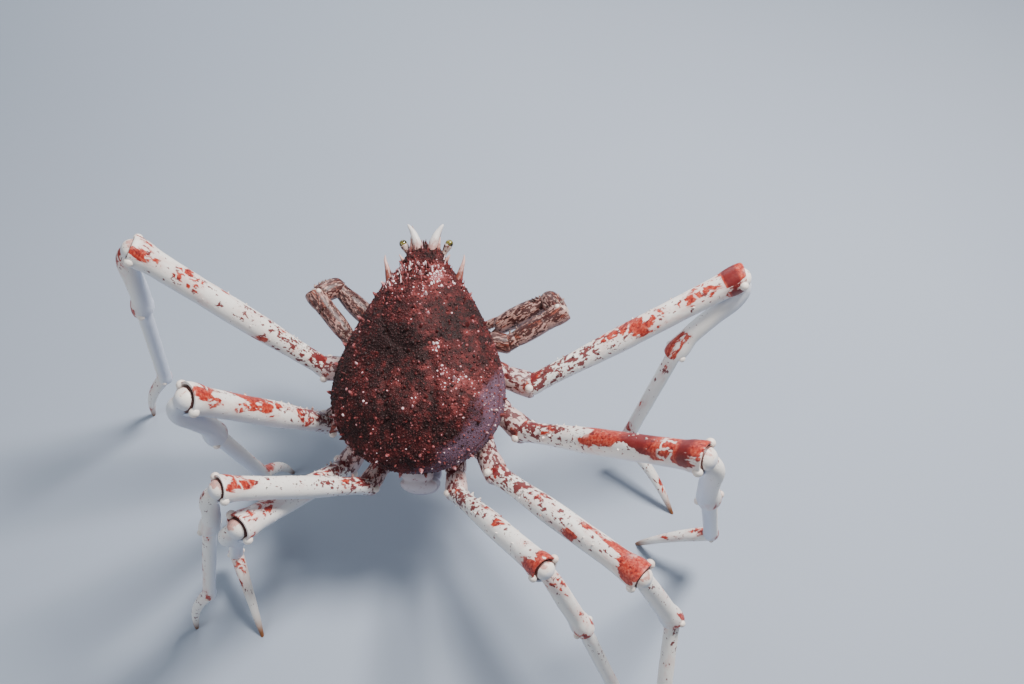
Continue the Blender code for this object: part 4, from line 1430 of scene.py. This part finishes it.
for side in ("right", "left"):
    for pair in (1, 2, 3, 4):
        buildLeg(side, pair)
print("walking legs done")


# Claw legs

claws = {
    "root": (0.070, 0.050, -0.054),
    "lengths": (0.052, 0.095, 0.040, 0.085, 0.060),
    "radius": 0.0145,
    "poses": {"right": ((-8, -10), (30, 6), (128, -35), (205, -12), (208, -20)),
              "left": ((-8, -10), (50, 6), (140, -35), (222, -12), (225, -20))},
    "teeth": 9,
    "spinules": (26, 14, 30),      # small spines on merus, carpus and palm
    # along each part, with thickness as a share of the radius
    "hipRoot": ((-0.018, 0.95), (0.0, 0.96), (0.018, 1.02), (0.023, 0.86), (0.028, 0.94)),
    "hipEnd": ((-0.6, 1.03), (0.15, 1.03), (0.60, 0.7)),
    "carpus": ((0.02, 0.80), (0.12, 0.94), (0.30, 1.06), (0.52, 1.14), (0.80, 1.15),
               (1.05, 1.06), (1.20, 0.82), (1.30, 0.50)),
    "palmRoot": ((-0.004, 0.66), (0.003, 0.84), (0.012, 0.86), (0.034, 1.08), (0.056, 1.15)),
    "palmEnd": ((-0.010, 1.06), (0.002, 0.97), (0.010, 0.62)),
    # how far aside, how far along and how thick the fingers are
    "fixedFinger": ((-0.6, -0.10, 0.60), (-0.9, 0.18, 0.52), (-1.2, 0.50, 0.42),
                    (-1.05, 0.78, 0.27), (-0.60, 0.96, 0.14)),
    "movingFinger": ((0.8, -0.06, 0.50), (1.2, 0.16, 0.52), (1.5, 0.50, 0.42),
                     (1.25, 0.78, 0.27), (0.65, 0.96, 0.14)),
}


def fingerStations(end, across, bent, radius, rows):
    tipAside = 0.45 if rows[0][0] > 0.0 else -0.45
    stations = [(end + across * aside + bent * share, radius * thick)
                for aside, share, thick in rows]
    return stations + [(end + across * tipAside + bent, 0.0010)]


def buildClaw(side):
    name = side + "Claw"
    node = side + "_claw"
    sign = 1.0 if side == "right" else -1.0
    flip = Vector((sign, 1.0, 1.0))
    turned = bodyHome.to_3x3()
    joints = [bodyHome @ (Vector(claws["root"]) * flip)]
    steps = []
    for number in range(5):
        step = turned @ (compass(*claws["poses"][side][number]) * flip)
        steps.append(step)
        joints.append(joints[-1] + step * claws["lengths"][number])
    radius = claws["radius"]
    seed = 31 if side == "right" else 41
    hipRows = stationsFrom(joints[0], steps[0], radius, claws["hipRoot"])
    hipRows += stationsFrom(joints[1], steps[0] * radius, radius, claws["hipEnd"])
    fold = foldOf(steps[0], steps[1])
    buildLimb(name + "Hip", node + "_hip", joints[0], joints[1], hipRows, radius * 1.05,
              seed + 0.1, clawBrown, None, fold)

    rows = limbStations(joints[1], joints[2], radius * 0.85, radius, radius * 1.12)
    fold = foldOf(steps[1], steps[2])
    dotted = smallSpines(joints[1], joints[2], radius * 0.97, claws["spinules"][0], seed)
    buildLimb(name + "Merus", node + "_merus", joints[1], joints[2], rows, radius * 1.12,
              seed + 0.3, clawBrown,
              jointKnobs(name, joints[2], bendSide(steps[1], steps[2]), radius, radius * 0.28),
              fold, dotted)

    rows = stationsFrom(joints[2], joints[3] - joints[2], radius, claws["carpus"])
    dotted = smallSpines(joints[2], joints[3], radius * 1.08, claws["spinules"][1], seed + 1)
    buildLimb(name + "Carpus", node + "_carpus", joints[2], joints[3], rows, radius, seed + 0.5,
              clawBrown, None, None, dotted)

    palmEnd = joints[4]
    across = steps[3].cross(turned @ upward).normalized() * radius * 0.55
    rows = stationsFrom(joints[3], steps[3], radius, claws["palmRoot"])
    rows += stationsFrom(palmEnd, steps[3], radius, claws["palmEnd"])
    palm = drawTube(name + "Palm", rows, 28, 0.003)
    roughen(palm, 0.0011, 0.012)
    bent = joints[5] - palmEnd
    fixed = drawTube(name + "Fixed", fingerStations(palmEnd, across, bent, radius,
                                                    claws["fixedFinger"]), 20, 0.002)
    moving = drawTube(name + "Finger", fingerStations(palmEnd, across, bent, radius,
                                                      claws["movingFinger"]), 20, 0.002)
    dice = random.Random(seed)
    gap = across.normalized()
    lists = {"fixed": [], "moving": []}
    for number in range(claws["teeth"]):
        share = 0.14 + 0.76 * number / claws["teeth"]
        size = 0.0019 * dice.uniform(0.7, 1.1) * (1.15 - share * 0.5)
        inner = -across * (1.2 - abs(share - 0.5)) + gap * radius * (0.50 - 0.32 * share)
        lists["fixed"].append((palmEnd + bent * share + inner, gap, size, size * 1.1, 0.0))
        inner = across * (1.5 - 1.2 * abs(share - 0.5)) - gap * radius * (0.50 - 0.32 * share)
        lists["moving"].append((palmEnd + bent * (share + 0.03) + inner, -gap, size, size * 1.1,
                                0.0))
    marked = (joints[3], steps[3], dorsalOf(steps[3]), seed + 0.7, claws["lengths"][3], 0.012)
    for word, base, target in (("fixed", [palm, fixed], "_palm"), ("moving", [moving], "_finger")):
        cover = spreadCopies(name + word + "Teeth", spikeShape, lists[word], False)
        bumps = []
        if word == "fixed":
            knuckles = smallSpines(joints[3], palmEnd, radius * 1.08, claws["spinules"][2],
                                   seed + 2)
            bumps = [spreadCopies(name + "PalmSpines", spikeShape, knuckles, False)]
        for piece in base + bumps:
            markShell(piece, *marked)
        for piece in base:
            points = readPoints(piece.data)
            far = ((points - np.array(palmEnd)) @ np.array(bent)) / bent.length_squared
            pale = np.clip((far - 0.55) / 0.35, 0.0, 1.0)
            writeMark(piece.data, "shellParts", np.column_stack((pale, pale * 0, pale * 0)))
        markShell(cover, *marked, part="tooth")
        whole = joinPieces(base + bumps + [cover])
        whole.name = name + ("Palm" if word == "fixed" else "Finger")
        handIn(whole, node + target, clawBrown, 55.0)


for side in ("right", "left"):
    buildClaw(side)
print("claw legs done")


# Floor, light and camera

studio = {
    "floor": ("#9aa4b4", "#a3acba"),
    "room": "#dfe6f0",
    "roomLight": 0.27,
    # name, place, aim, size, power and colour
    "lamps": (
        ("keyLight", (1.1, 0.7, 2.3), (0.0, 0.1, 0.2), 0.7, 118.0, (1.0, 0.97, 0.94)),
        ("fillLight", (-1.9, -1.2, 1.8), (0.0, 0.0, 0.2), 1.8, 24.0, (0.88, 0.94, 1.0)),
        ("rearLight", (-0.6, 2.4, 1.2), (0.0, 0.0, 0.25), 1.5, 18.0, (0.90, 0.95, 1.0))),
    "lens": 35.0,
    "eye": (0.0, -0.853, 1.519),
    "lookDown": 55.0,
}


def buildStudio():
    clearPicks()
    bpy.ops.mesh.primitive_plane_add(size=30.0, location=(0.0, 0.0, -0.0004))
    floor = bpy.context.object
    floor.name = "studioFloor"
    # matt painted board: nearly even, with a faint cloudiness
    material, shader, add = newMaterial("mattPaintedBoard", 0.8)
    coords = add("ShaderNodeTexCoord")
    cloud = add("ShaderNodeTexNoise", {"Scale": 1.2, "Detail": 2.0}, {"Vector": coords})
    tint = add("ShaderNodeMix",
               {"data_type": "RGBA", 6: hexColour(studio["floor"][0]),
                7: hexColour(studio["floor"][1])}, {0: cloud})
    linkTo(material, shader, {"Base Color": tint})
    floor.data.materials.append(material)
    for name, place, aim, size, power, colour in studio["lamps"]:
        lamp = bpy.data.lights.new(name, "AREA")
        lamp.shape = "DISK"
        lamp.size = size
        lamp.energy = power
        lamp.color = colour
        holder = bpy.data.objects.new(name, lamp)
        holder.location = place
        way = Vector(aim) - Vector(place)
        holder.rotation_euler = way.to_track_quat("-Z", "Y").to_euler()
        bpy.context.scene.collection.objects.link(holder)
    world = bpy.data.worlds.new("softRoom")
    world.use_nodes = True
    backdrop = world.node_tree.nodes["Background"]
    backdrop.inputs[0].default_value = hexColour(studio["room"])
    backdrop.inputs[1].default_value = studio["roomLight"]
    bpy.context.scene.world = world
    lens = bpy.data.cameras.new("camera")
    lens.lens = studio["lens"]
    lens.sensor_width = 36.0
    camera = bpy.data.objects.new("camera", lens)
    camera.matrix_world = (shiftHome @ Matrix.Translation(studio["eye"])
                           @ Matrix.Rotation(math.radians(90.0 - studio["lookDown"]), 4, "X"))
    bpy.context.scene.collection.objects.link(camera)
    bpy.context.scene.camera = camera


buildStudio()
